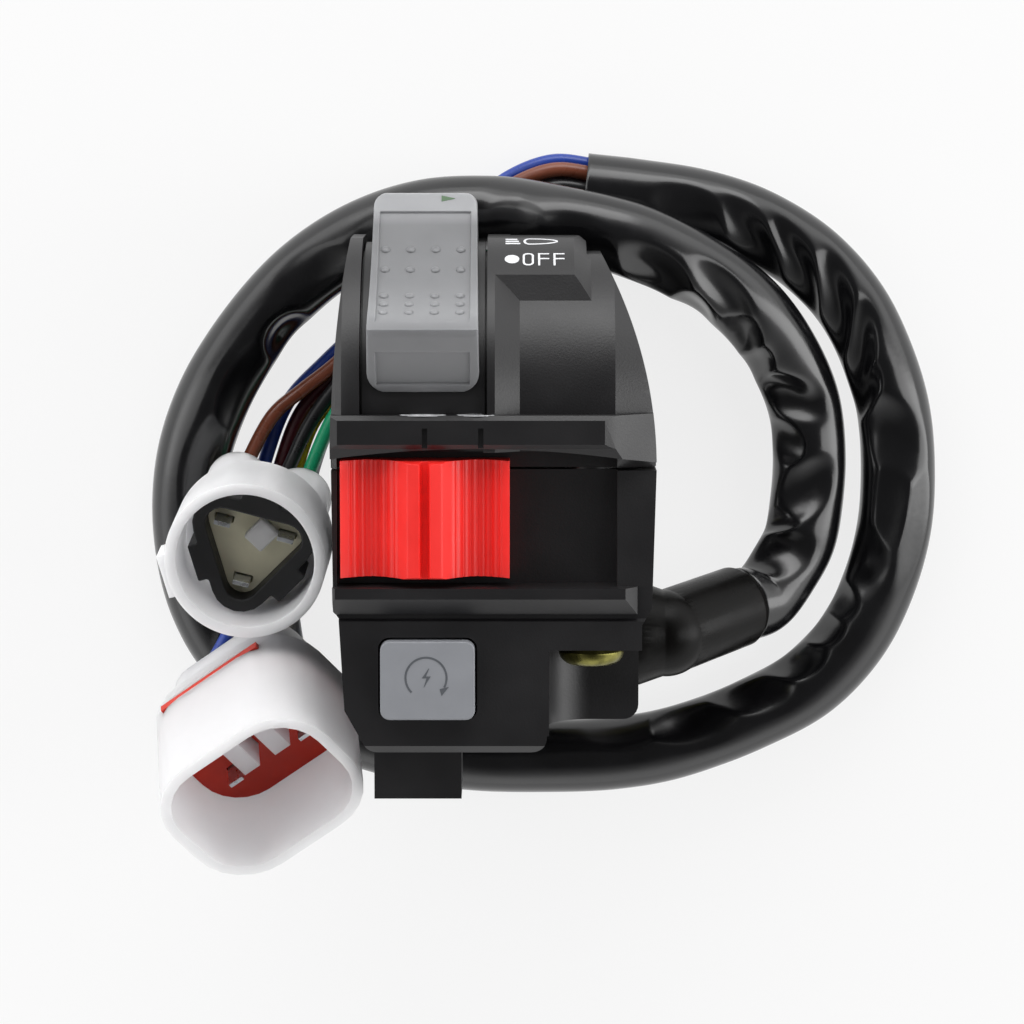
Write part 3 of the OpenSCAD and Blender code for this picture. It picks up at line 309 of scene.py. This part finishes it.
# Each wire's loom, place across it, layer, own points, connector and pin
WIRES = {
    "wire_brown": (LOOM, 1, 1, [(-26.6, 7, -19.2), (-30.6, 3.6, -18)], PLUG3, PIN3_PLACES[2]),
    "wire_black": (LOOM, 0, 1, [(-25.4, 2.6, -19.2), (-28.4, -3.6, -19)], PLUG3, PIN3_PLACES[0]),
    "wire_green": (LOOM, -1, 1, [(-22.4, 3, -19)], PLUG3, PIN3_PLACES[1]),
    "wire_blue": (UNDER, 1.5, -1, [(-35, -21, -14.4), (-35.8, -24.6, -11.2)], PLUG4, PIN4_PLACES[2]),
    "wire_maroon": (UNDER, 0.5, -1, [(-32.7, -23.8, -13.2), (-34.6, -28.6, -9.6)], PLUG4, PIN4_PLACES[0]),
    "wire_yellow": (UNDER, -0.5, -1, [(-30.6, -21.6, -15)], PLUG4, PIN4_PLACES[3]),
    "wire_grey": (UNDER, -1.5, -1, [(-28, -22.4, -14)], PLUG4, PIN4_PLACES[1]),
}
LEAST_SPAN = 1e-6


def smooth_line(points, step):
    """Points about a step apart on a smooth curve through the given ones."""
    line = []
    last = len(points) - 1
    for i in range(last):
        a, b, c, d = points[max(i - 1, 0)], points[i], points[i + 1], points[min(i + 2, last)]
        ab, bc, cd = (max((q - p).length ** 0.5, LEAST_SPAN) for p, q in ((a, b), (b, c), (c, d)))
        leave = (c - b) / bc - (c - a) / (ab + bc) + (b - a) / ab if i else (c - b) / bc
        arrive = (d - c) / cd - (d - b) / (bc + cd) + (c - b) / bc if i + 1 < last else (c - b) / bc
        leave, arrive = leave * bc, arrive * bc
        count = max(2, round((c - b).length / step))
        for k in range(count):
            t = k / count
            line.append(
                b * (2 * t ** 3 - 3 * t ** 2 + 1) + leave * (t ** 3 - 2 * t ** 2 + t)
                + c * (3 * t ** 2 - 2 * t ** 3) + arrive * (t ** 3 - t ** 2)
            )
    line.append(points[last])
    return line


def line_length(line):
    """The length of a line through its points."""
    return sum((q - p).length for p, q in zip(line, line[1:]))


def add_mesh(name, vertices, faces, material, body, smooth=True):
    """A mesh piece in the part's frame that rides on a body; vertices are in millimetres."""
    mesh = bpy.data.meshes.new(name)
    mesh.from_pydata([tuple(v * MM) for v in vertices], [], faces)
    shape = bmesh.new()
    shape.from_mesh(mesh)
    bmesh.ops.recalc_face_normals(shape, faces=shape.faces)
    shape.to_mesh(mesh)
    shape.free()
    mesh.materials.append(material)
    mesh.polygons.foreach_set("use_smooth", [smooth] * len(mesh.polygons))
    piece = bpy.data.objects.new(name, mesh)
    bpy.context.scene.collection.objects.link(piece)
    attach(piece, body)
    return piece


def add_tube(name, line, radius, sides, material, mouth=None):
    """A closed tube along a line. The radius is a function of the way along and the angle.

    A mouth, given as its wall and depth, hollows the far end.
    """
    vertices, faces = [], []
    along = 0
    across = Vector((0, 0, 1))

    def add_ring(centre, inset):
        """A ring of points round the place that the line has come to."""
        for k in range(sides):
            angle = 2 * math.pi * k / sides
            r = radius(along, angle) - inset
            vertices.append(centre + across * (r * math.cos(angle)) + other * (r * math.sin(angle)))

    for i, centre in enumerate(line):
        way = (line[min(i + 1, len(line) - 1)] - line[max(i - 1, 0)]).normalized()
        across = (across - way * across.dot(way)).normalized()
        other = way.cross(across)
        along += (centre - line[max(i - 1, 0)]).length
        add_ring(centre, 0)
    if mouth:
        wall, depth = mouth
        add_ring(line[-1], wall)
        add_ring(line[-1] - way * depth, wall)
    rings = len(vertices) // sides
    for i in range(rings - 1):
        for k in range(sides):
            a, b = i * sides + k, i * sides + (k + 1) % sides
            faces.append((a, b, b + sides, a + sides))
    faces.append(tuple(range(sides - 1, -1, -1)))
    faces.append(tuple(range((rings - 1) * sides, rings * sides)))
    return add_mesh(name, vertices, faces, material, "housing")


# Folds of the slack sheath, each a dish pressed into it: the way along to its middle, its angle from the top
# with the inside of the loops negative, half its length, half its width in degrees, its depth, and how far it
# slants along for each millimetre round
FOLDS = [
    (3.5, -78, 3.0, 48, 1.0, 0.2), (9.5, -58, 4.6, 62, 1.5, 0.4), (16, -78, 3.4, 44, 1.0, 0.5),
    (21, -42, 4.6, 52, 1.7, 0.5), (28.5, -80, 3.4, 40, 1.0, -0.4), (36.5, -52, 4.8, 56, 1.8, -0.6),
    (43.5, -84, 3.6, 44, 1.3, 0.4), (49, -66, 4.4, 46, 1.5, 0.8), (56, -22, 5.2, 34, 1.2, 1.1),
    (58, -86, 4.2, 40, 1.3, 0.5), (65.5, -56, 5.8, 50, 1.7, 0.6), (75, -50, 5.0, 55, 1.0, 0.4),
    (84, -40, 5.0, 50, 0.6, 0.0), (103, -40, 7.0, 50, 0.4, 0.0), (117, -30, 6.5, 42, 0.5, 0.5),
    (126.5, -84, 4.4, 44, 1.8, 0.0), (136, -62, 7.0, 44, 0.6, -0.3), (150, -50, 8.0, 40, 0.4, 0.0),
    (236, -76, 6.0, 40, 0.5, 0.3), (246.5, -60, 6.5, 44, 1.0, 0.6), (256, -66, 5.5, 44, 1.0, 0.8),
    (264.5, -78, 4.6, 40, 1.0, 0.6), (271.5, -86, 3.4, 38, 1.0, 0.2), (277, -84, 3.2, 36, 1.0, 0.0),
    (284, -62, 5.4, 46, 1.0, -0.3), (291, 6, 9.0, 24, 0.6, 0.5), (293.5, -38, 8.5, 30, 0.8, 0.4),
    (302.5, -34, 6.2, 54, 1.4, -0.5), (310, -76, 3.8, 46, 1.4, 0.6), (315.5, -54, 4.2, 54, 1.7, 1.1),
    (323, -48, 4.6, 56, 1.8, 1.2), (331, -50, 4.6, 56, 1.7, 1.2), (339, -46, 5.0, 52, 1.5, 1.0),
    (348, -32, 6.4, 38, 0.9, 0.6),
]
# How far from its middle a fold counts, how soft its rim is, how sharply two folds meet, the way along over
# which folds begin, and the angle in degrees from which a whole turn counts down
FOLD_REACH = 18
FOLD_RIM = 0.08
FOLD_JOIN = 6
FOLD_LEAD = 5
FOLD_SEAM = 90
# Slow swells of the vinyl: their depth, how fast they change round it, and their length
SWELL_DEPTH = 0.25
SWELL_ROUND = 0.6
SWELL_LENGTH = 17
# The sheath's slack over its plain radius, and its wall and depth at the open mouth
SHEATH_SLACK = 0.1
SHEATH_WALL = 0.5
SHEATH_MOUTH = 2
# How finely the cords are drawn along and round
SHEATH_STEP = 0.4
SHEATH_SIDES = 80
WIRE_LINE_STEP = 0.6
WIRE_SIDES = 16


def fold_depth(fold, along, turn):
    """The depth of one fold at a place on the sheath."""
    middle, angle, half_length, half_width, depth, slant = fold
    aside = turn - angle
    ahead = along - middle - slant * math.radians(aside) * SHEATH_D / 2
    lift = 1 - (ahead / half_length) ** 2 - (aside / half_width) ** 2
    return depth * (lift + math.sqrt(lift * lift + FOLD_RIM)) / 2


def sheath_radius(along, angle):
    """The sheath's radius: slack vinyl, smooth outside its bends and folded inside them."""
    turn = math.degrees(angle)
    turn = turn if turn < FOLD_SEAM else turn - 360
    folds = [fold_depth(f, along, turn) for f in FOLDS if abs(f[0] - along) < FOLD_REACH]
    deepest = sum(d ** FOLD_JOIN for d in folds) ** (1 / FOLD_JOIN)
    round_way = Vector((math.cos(angle), math.sin(angle), 0))
    swell = SWELL_DEPTH * noise.noise(round_way * SWELL_ROUND + Vector((0, 0, along / SWELL_LENGTH)))
    begun = min(1, along / FOLD_LEAD)
    return SHEATH_D / 2 + SHEATH_SLACK + begun * (swell - deepest)


def wire_radius(along, angle):
    """A wire is round and plain."""
    return WIRE_D / 2


def add_sheath():
    """The vinyl sheath, from the boot to its open end."""
    line = smooth_line(SHEATH_ROUTE, SHEATH_STEP)
    sheath = add_tube("sheath_vinyl", line, sheath_radius, SHEATH_SIDES, vinyl_black,
                      mouth=(SHEATH_WALL, SHEATH_MOUTH))
    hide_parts("sheath")
    line_length(line) * MM


def add_wires():
    """Seven wires, each from the sheath's cut end to its connector."""
    for name, (loom, slot, layer, between, plug, pin) in WIRES.items():
        route = wire_route(loom, slot, layer, between, plug, pin)
        line = smooth_line(route, WIRE_LINE_STEP)
        wire = add_tube(name + "_cord", line, wire_radius, WIRE_SIDES, wire_skins[name])
        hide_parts(name)
        line_length(line) * MM


add_sheath()
add_wires()


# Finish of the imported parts

# Least angle, in degrees, of an edge that is softened: the case has shallow steps, other parts round sides
CASE_EDGE_ANGLE = 14
EDGE_ANGLE = 28
EDGE_SEGMENTS = 3
# Points this near are one point, and faces that meet at less than this angle in degrees are one face
WELD_REACH = 0.004
FLAT_ANGLE = 0.6
NORMAL_WEIGHT = 60


def dress(name, material, edge):
    """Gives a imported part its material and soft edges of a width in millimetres."""
    part = nodes[name]
    part.data.materials.clear()
    part.data.materials.append(material)
    part.data.polygons.foreach_set("use_smooth", [True] * len(part.data.polygons))
    if "custom_normal" in part.data.attributes:
        part.data.attributes.remove(part.data.attributes["custom_normal"])
    weld = part.modifiers.new("weld", "WELD")
    weld.merge_threshold = WELD_REACH * MM
    flat = part.modifiers.new("flat", "DECIMATE")
    flat.decimate_type = "DISSOLVE"
    flat.angle_limit = math.radians(FLAT_ANGLE)
    soft = part.modifiers.new("soft_edges", "BEVEL")
    soft.width = edge * MM
    soft.segments = EDGE_SEGMENTS
    soft.limit_method = "ANGLE"
    soft.angle_limit = math.radians(CASE_EDGE_ANGLE if material is case_black else EDGE_ANGLE)
    soft.use_clamp_overlap = True
    soft.miter_outer = "MITER_ARC"
    normals = part.modifiers.new("normals", "WEIGHTED_NORMAL")
    normals.keep_sharp = True
    normals.weight = NORMAL_WEIGHT


FINISHES = {
    "upper_case": (case_black, 0.3), "lower_case": (case_black, 0.3), "clamp_screws": (zinc_gold, 0.12),
    "base_screws": (steel, 0.04), "light_knob": (knob_grey, 0.5), "light_drum": (case_black, 0.1),
    "light_contact": (brass, 0.05), "light_base": (phenolic, 0.05), "light_terminals": (brass, 0.05),
    "light_detent_ball": (steel, 0.01), "light_detent_spring": (steel, 0.01),
    "stop_knob": (stop_red, 0.06), "stop_carrier": (acetal, 0.05), "stop_contact": (brass, 0.05),
    "stop_base": (phenolic, 0.05), "stop_terminals": (brass, 0.05), "stop_detent_ball": (steel, 0.01),
    "stop_detent_spring": (steel, 0.01), "start_button": (start_grey, 0.5), "start_contact": (brass, 0.05),
    "start_base": (phenolic, 0.05), "start_terminals": (brass, 0.05), "start_spring": (steel, 0.01),
    "boot": (boot_rubber, 0.25), "plug3_shell": (shell_white, 0.2), "plug3_seal": (seal_black, 0.3),
    "plug3_insert": (insert_cream, 0.12), "plug3_pins": (tin, 0.06),
    "plug3_wire_seals": (wire_seal_cream, 0.15), "plug4_shell": (shell_white, 0.2),
    "plug4_retainer": (retainer_red, 0.12), "plug4_pins": (tin, 0.06),
    "plug4_wire_seals": (wire_seal_cream, 0.15),
}
for node_name, (finish, edge_width) in FINISHES.items():
    dress(node_name, finish, edge_width)


# White cap on the key of the 3-way connector, in the connector's own axes

KEY_TURN = 150
KEY_LOW = (-1.56, 0.34, -8.2)
KEY_HIGH = (1.56, 3.86, -6.3)
KEY_EDGE = 0.25


def add_key():
    """A small block with soft edges, turned about the connector's axis."""
    turn = math.radians(KEY_TURN)
    vertices = []
    for x in (KEY_LOW[0], KEY_HIGH[0]):
        for y in (KEY_LOW[1], KEY_HIGH[1]):
            for z in (KEY_LOW[2], KEY_HIGH[2]):
                u = x * math.cos(turn) - y * math.sin(turn)
                v = x * math.sin(turn) + y * math.cos(turn)
                vertices.append(in_plug(PLUG3, u, v, z))
    faces = [(0, 1, 3, 2), (4, 6, 7, 5), (0, 4, 5, 1), (2, 3, 7, 6), (0, 2, 6, 4), (1, 5, 7, 3)]
    key = add_mesh("plug3_key_cap", vertices, faces, shell_white, "housing")
    soft = key.modifiers.new("soft_edges", "BEVEL")
    soft.width = KEY_EDGE * MM
    soft.segments = EDGE_SEGMENTS
    normals = key.modifiers.new("normals", "WEIGHTED_NORMAL")
    normals.keep_sharp = True


add_key()


# Printed marks, as thin ink from under the surface to just over it

INK_LOW = -0.06
INK_HIGH = 0.03
INK_STEP = 0.4
MITRE_LIMIT = 0.5
ROUND_POINTS = 40
MARK_LINE = 0.3


def finer(points, closed):
    """A flat line with its points no further apart than the ink's step."""
    line = []
    for p, q in zip(points, points[1:] + points[:1] if closed else points[1:]):
        count = max(1, math.ceil((q - p).length / INK_STEP))
        line += [p.lerp(q, k / count) for k in range(count)]
    return line if closed else line + [points[-1]]


def stroke(points, width, closed=False):
    """A line of ink, as its two sides."""
    line = finer([Vector(p) for p in points], closed)
    last = len(line) - 1
    left, right = [], []
    for i, p in enumerate(line):
        behind = p - line[i - 1] if closed or i else line[1] - p
        ahead = line[(i + 1) % len(line)] - p if closed or i < last else behind
        before, after = (Vector((-w.y, w.x)).normalized() for w in (behind, ahead))
        middle = (before + after).normalized()
        reach = width / 2 / max(MITRE_LIMIT, middle.dot(before))
        left.append(p + middle * reach)
        right.append(p - middle * reach)
    return left, right, closed


def fill(upper, lower):
    """A filled shape between two flat lines that have as many points."""
    return [Vector(p) for p in upper], [Vector(p) for p in lower], False


def arc(centre, width, height, start, stop, count):
    """Points on an ellipse between two angles in degrees."""
    angles = [math.radians(start + (stop - start) * k / count) for k in range(count + 1)]
    return [(centre[0] + width / 2 * math.cos(a), centre[1] + height / 2 * math.sin(a)) for a in angles]


def ring(centre, width, height, line_width):
    """An outlined ellipse."""
    return stroke(arc(centre, width, height, 0, 360, ROUND_POINTS)[:-1], line_width, closed=True)


def add_ink(name, shapes, place, material, body):
    """Flat shapes as one piece of ink; place gives a point on the surface at a height over it."""
    vertices, faces = [], []
    for left, right, closed in shapes:
        first, count = len(vertices), len(left)
        for a, b in zip(left, right):
            vertices += [place(*a, INK_LOW), place(*b, INK_LOW), place(*b, INK_HIGH), place(*a, INK_HIGH)]
        for i in range(count if closed else count - 1):
            here, there = first + 4 * i, first + 4 * ((i + 1) % count)
            faces += [(here + k, here + (k + 1) % 4, there + (k + 1) % 4, there + k) for k in range(4)]
        if not closed:
            end = first + 4 * (count - 1)
            faces += [(first + 3, first + 2, first + 1, first), (end, end + 1, end + 2, end + 3)]
    add_mesh(name, vertices, faces, material, body, smooth=False)


PAD_R = 22
PAD_Y, PAD_Z = 8, 2
PAD_WORD_TURN = 58.6
PAD_SIGN_TURN = 71.6
PAD_DOT = (2.6, 0)
PAD_DOT_D = 1.9
LETTER_STARTS = (4.0, 6.0, 8.0)
LETTER_W, LETTER_H, LETTER_LINE = 1.45, 2.8, 0.27
LETTER_BAR = 0.1
LETTER_CORNER = 1.0
LAMP = (4.9, 0)
LAMP_H = 1.9
LAMP_GLASS_W = 1.3
LAMP_BOWL_W = 7.2
BEAM_START = 1.75
BEAM_STOP = 3.5
BEAM_SLANT = 0.25
BEAM_ROWS = (-0.75, 0, 0.75)
BEAM_LINE = 0.42


def on_pad(turn):
    """Places marks on the label pad round an angle, measured from the control face towards the top."""
    def place(x, v, height):
        angle = math.radians(turn) + v / PAD_R
        r = PAD_R + height
        return Vector((x, PAD_Y + r * math.sin(angle), PAD_Z + r * math.cos(angle)))
    return place


def letter_f(x):
    """A letter with an upright and two bars."""
    low, high = -LETTER_H / 2, LETTER_H / 2
    inset = LETTER_LINE / 2
    return [
        stroke([(x + inset, low), (x + inset, high)], LETTER_LINE),
        stroke([(x + LETTER_LINE, high - inset), (x + LETTER_W, high - inset)], LETTER_LINE),
        stroke([(x + LETTER_LINE, LETTER_BAR), (x + LETTER_W, LETTER_BAR)], LETTER_LINE),
    ]


def letter_o(x):
    """A letter with straight sides and round corners."""
    w, h = LETTER_W - LETTER_LINE, LETTER_H - LETTER_LINE
    points = []
    for k, (sx, sy) in enumerate([(1, 1), (-1, 1), (-1, -1), (1, -1)]):
        centre = (x + LETTER_W / 2 + sx * (w - LETTER_CORNER) / 2, sy * (h - LETTER_CORNER) / 2)
        points += arc(centre, LETTER_CORNER, LETTER_CORNER, 90 * k, 90 * k + 90, 6)
    return stroke(points, LETTER_LINE, closed=True)


def add_pad_marks():
    """A dot and OFF, with a headlamp sign above them."""
    upper = arc(PAD_DOT, PAD_DOT_D, PAD_DOT_D, 175, 5, 16)
    lower = arc(PAD_DOT, PAD_DOT_D, PAD_DOT_D, 185, 355, 16)
    dot = fill(upper, lower)
    first, second, third = LETTER_STARTS
    word = [dot, letter_o(first)] + letter_f(second) + letter_f(third)
    add_ink("off_mark", word, on_pad(PAD_WORD_TURN), ink_white, "housing")
    beams = [stroke([(BEAM_START, v), (BEAM_STOP - BEAM_SLANT * v, v)], BEAM_LINE) for v in BEAM_ROWS]
    glass = arc(LAMP, LAMP_GLASS_W, LAMP_H, 90, 270, 10)
    bowl = arc(LAMP, LAMP_BOWL_W, LAMP_H, -90, 90, 24)
    lamp = stroke(glass + bowl[1:-1], MARK_LINE, closed=True)
    add_ink("headlamp_mark", beams + [lamp], on_pad(PAD_SIGN_TURN), ink_white, "housing")


LEDGE_Y = 7.3
LEDGE_MARK_Z = 23.75
LEDGE_MARK_H = 2.0
STOP_MARK = (-8.85, 0)
STOP_MARK_W = 5.6
CROSS_W, CROSS_H = 3.5, 1.6
RUN_MARK = (-2.0, 0)
RUN_MARK_W = 4.6


def on_ledge(x, v, height):
    """Places marks on the upper side of the lip over the slider."""
    return Vector((x, LEDGE_Y + height, LEDGE_MARK_Z - v))


def add_ledge_marks():
    """Engine stop, a crossed ring, and run, a plain ring."""
    left, right = STOP_MARK[0] - CROSS_W / 2, STOP_MARK[0] + CROSS_W / 2
    low, high = -CROSS_H / 2, CROSS_H / 2
    stop = [ring(STOP_MARK, STOP_MARK_W, LEDGE_MARK_H, MARK_LINE),
            stroke([(left, low), (right, high)], MARK_LINE),
            stroke([(left, high), (right, low)], MARK_LINE)]
    add_ink("engine_stop_mark", stop, on_ledge, ink_white, "housing")
    run = [ring(RUN_MARK, RUN_MARK_W, LEDGE_MARK_H, MARK_LINE)]
    add_ink("engine_run_mark", run, on_ledge, ink_white, "housing")


START_TOP_Z = 25
START_MARK = (-8.48, -26.59)
START_MARK_D = 5.3
START_LINE = 0.26
SWEEP_START, SWEEP_STOP = 225, -28


def on_button(x, v, height):
    """Places marks on top of the start button."""
    return Vector((START_MARK[0] + x, START_MARK[1] + v, START_TOP_Z + height))


def add_start_mark():
    """A turning arrow round a bolt."""
    circle = arc((0, 0), START_MARK_D, START_MARK_D, SWEEP_START, SWEEP_STOP, ROUND_POINTS)
    sweep = stroke(circle, START_LINE)
    head = fill([(2.95, -1.15), (2.0, -2.35)], [(1.75, -1.45), (1.98, -2.3)])
    bolt = fill([(0.35, 1.25), (-0.55, -0.05), (0.05, -0.05), (-0.3, -1.25)],
                [(0.4, 1.2), (0.0, 0.2), (0.6, 0.2), (-0.25, -1.2)])
    add_ink("start_mark", [sweep, head, bolt], on_button, ink_grey, "start_key")


# Raised dots and a pointer on the lever's knob

SADDLE_Y, SADDLE_Z = 66.69, 43.10
SADDLE_R = 50.0
CAP_R = 49.65
DOT_R = 0.62
DOT_RISE = 0.3
DOT_SINK = 0.15
DOT_SIDES = 16
# A dome's rings from its foot up: their share of its radius and their height
DOT_PROFILE = [(1.0, -DOT_SINK), (1.0, 0.0), (0.86, DOT_RISE * 0.5), (0.5, DOT_RISE * 0.87)]
DOT_TURNS = [50.9, 55.6, 62.5, 65.0, 67.6]
DOT_PLACES = [-13.9, -10.6, -7.35, -4.07]
POINTER_TURN = 40.6


def on_knob(radius, turn):
    """Places shapes on the hollow face of the knob round an angle from the vertical."""
    def place(x, v, height):
        angle = math.radians(turn) - v / radius
        r = radius - height
        return Vector((x, SADDLE_Y - r * math.sin(angle), SADDLE_Z - r * math.cos(angle)))
    return place


def add_knob_dots():
    """Rows of small domes for the thumb."""
    vertices, faces = [], []
    for turn in DOT_TURNS:
        place = on_knob(SADDLE_R, turn)
        for x in DOT_PLACES:
            first = len(vertices)
            for share, height in DOT_PROFILE:
                vertices += [place(x + u, v, height) for u, v in
                             arc((0, 0), 2 * DOT_R * share, 2 * DOT_R * share, 0, 360, DOT_SIDES)[:-1]]
            top = len(vertices)
            vertices.append(place(x, 0, DOT_RISE))
            for k in range(DOT_SIDES):
                after = (k + 1) % DOT_SIDES
                for row in range(len(DOT_PROFILE) - 1):
                    low = first + row * DOT_SIDES
                    high = low + DOT_SIDES
                    faces.append((low + k, low + after, high + after, high + k))
                faces.append((top - DOT_SIDES + k, top - DOT_SIDES + after, top))
            faces.append(tuple(range(first, first + DOT_SIDES)))
    add_mesh("knob_dots", vertices, faces, knob_grey, "light_lever")


def add_pointer():
    """A small green pointer at the knob's upper end."""
    shape = fill([(-6.7, 0.5), (-4.9, 0.03)], [(-6.7, -0.5), (-4.9, -0.03)])
    add_ink("knob_pointer", [shape], on_knob(CAP_R, POINTER_TURN), ink_green, "light_lever")


add_pad_marks()
add_ledge_marks()
add_start_mark()
add_knob_dots()
add_pointer()


# Floor and light

FLOOR_Z = -22.55
FLOOR_HALF = 2000
FLOOR_COLOUR = (0.9, 0.9, 0.9, 1)
FLOOR_ROUGHNESS = 0.9
FLOOR_GLOW = 0.8


def backdrop_material(name):
    """A pale floor that reads as white to the eye and in reflections, and still holds a shadow."""
    material = bpy.data.materials.new(name)
    material.use_nodes = True
    tree = material.node_tree
    shader = tree.nodes["Principled BSDF"]
    shader.inputs["Base Color"].default_value = FLOOR_COLOUR
    shader.inputs["Roughness"].default_value = FLOOR_ROUGHNESS
    shader.inputs["Specular IOR Level"].default_value = 0.0
    glow = tree.nodes.new("ShaderNodeEmission")
    path = tree.nodes.new("ShaderNodeLightPath")
    seen = path.outputs["Is Camera Ray"]
    for ray in ("Is Glossy Ray", "Is Transmission Ray"):
        either = tree.nodes.new("ShaderNodeMath")
        either.operation = "MAXIMUM"
        tree.links.new(seen, either.inputs[0])
        tree.links.new(path.outputs[ray], either.inputs[1])
        seen = either.outputs["Value"]
    share = tree.nodes.new("ShaderNodeMath")
    share.operation = "MULTIPLY"
    share.inputs[1].default_value = FLOOR_GLOW
    tree.links.new(seen, share.inputs[0])
    mix = tree.nodes.new("ShaderNodeMixShader")
    tree.links.new(share.outputs["Value"], mix.inputs["Fac"])
    tree.links.new(shader.outputs["BSDF"], mix.inputs[1])
    tree.links.new(glow.outputs["Emission"], mix.inputs[2])
    tree.links.new(mix.outputs["Shader"], tree.nodes["Material Output"].inputs["Surface"])
    return material


def add_floor():
    """A wide floor just under the part."""
    signs = ((-1, -1), (1, -1), (1, 1), (-1, 1))
    corners = [Vector((x * FLOOR_HALF, y * FLOOR_HALF, FLOOR_Z)) for x, y in signs]
    mesh = bpy.data.meshes.new("floor")
    mesh.from_pydata([tuple(c * MM) for c in corners], [], [(0, 1, 2, 3)])
    mesh.materials.append(backdrop_material("floor"))
    floor = bpy.data.objects.new("floor", mesh)
    bpy.context.scene.collection.objects.link(floor)


# Softboxes, which all face the part: place, width and height in metres, and power in watts
SOFTBOXES = {
    "top_softbox": ((-0.1, 0.62, 0.34), 0.9, 0.35, 2.5),
    "left_softbox": ((-0.6, 0.1, 0.4), 0.25, 0.7, 0.5),
    "right_softbox": ((0.65, 0.0, 0.32), 0.3, 0.8, 1.9),
}


def add_softbox(name, place, width, height, power):
    """A flat lamp turned to the part's origin."""
    data = bpy.data.lights.new(name, "AREA")
    data.shape = "RECTANGLE"
    data.size = width
    data.size_y = height
    data.energy = power
    light = bpy.data.objects.new(name, data)
    light.location = place
    light.rotation_euler = (-Vector(place)).to_track_quat("-Z", "Y").to_euler()
    bpy.context.scene.collection.objects.link(light)


# The tent of light: its strength on the lower case's side and on the upper case's side, and its brightness
# at the sine of a height above the floor
TENT_FRONT = 0.9
TENT_BACK = 1.35
TENT = [(0.0, 1.4), (0.35, 1.4), (0.62, 0.5), (0.88, 0.08)]


def add_world():
    """A tent of white light, bright low down and dim overhead, where the camera looks in."""
    world = bpy.data.worlds.new("tent")
    world.use_nodes = True
    tree = world.node_tree
    way = tree.nodes.new("ShaderNodeTexCoord")
    height = tree.nodes.new("ShaderNodeSeparateXYZ")
    tree.links.new(way.outputs["Generated"], height.inputs["Vector"])
    ramp = grey_ramp(tree, TENT)
    tree.links.new(height.outputs["Z"], ramp.inputs["Fac"])
    slope = tree.nodes.new("ShaderNodeMapRange")
    slope.inputs["From Min"].default_value = -1
    slope.inputs["To Min"].default_value = TENT_FRONT
    slope.inputs["To Max"].default_value = TENT_BACK
    tree.links.new(height.outputs["Y"], slope.inputs["Value"])
    tree.links.new(slope.outputs["Result"], tree.nodes["Background"].inputs["Strength"])
    tree.links.new(ramp.outputs["Color"], tree.nodes["Background"].inputs["Color"])
    bpy.context.scene.world = world


add_floor()
add_world()
for softbox_name, softbox in SOFTBOXES.items():
    add_softbox(softbox_name, *softbox)

bpy.context.scene.view_settings.view_transform = "Standard"
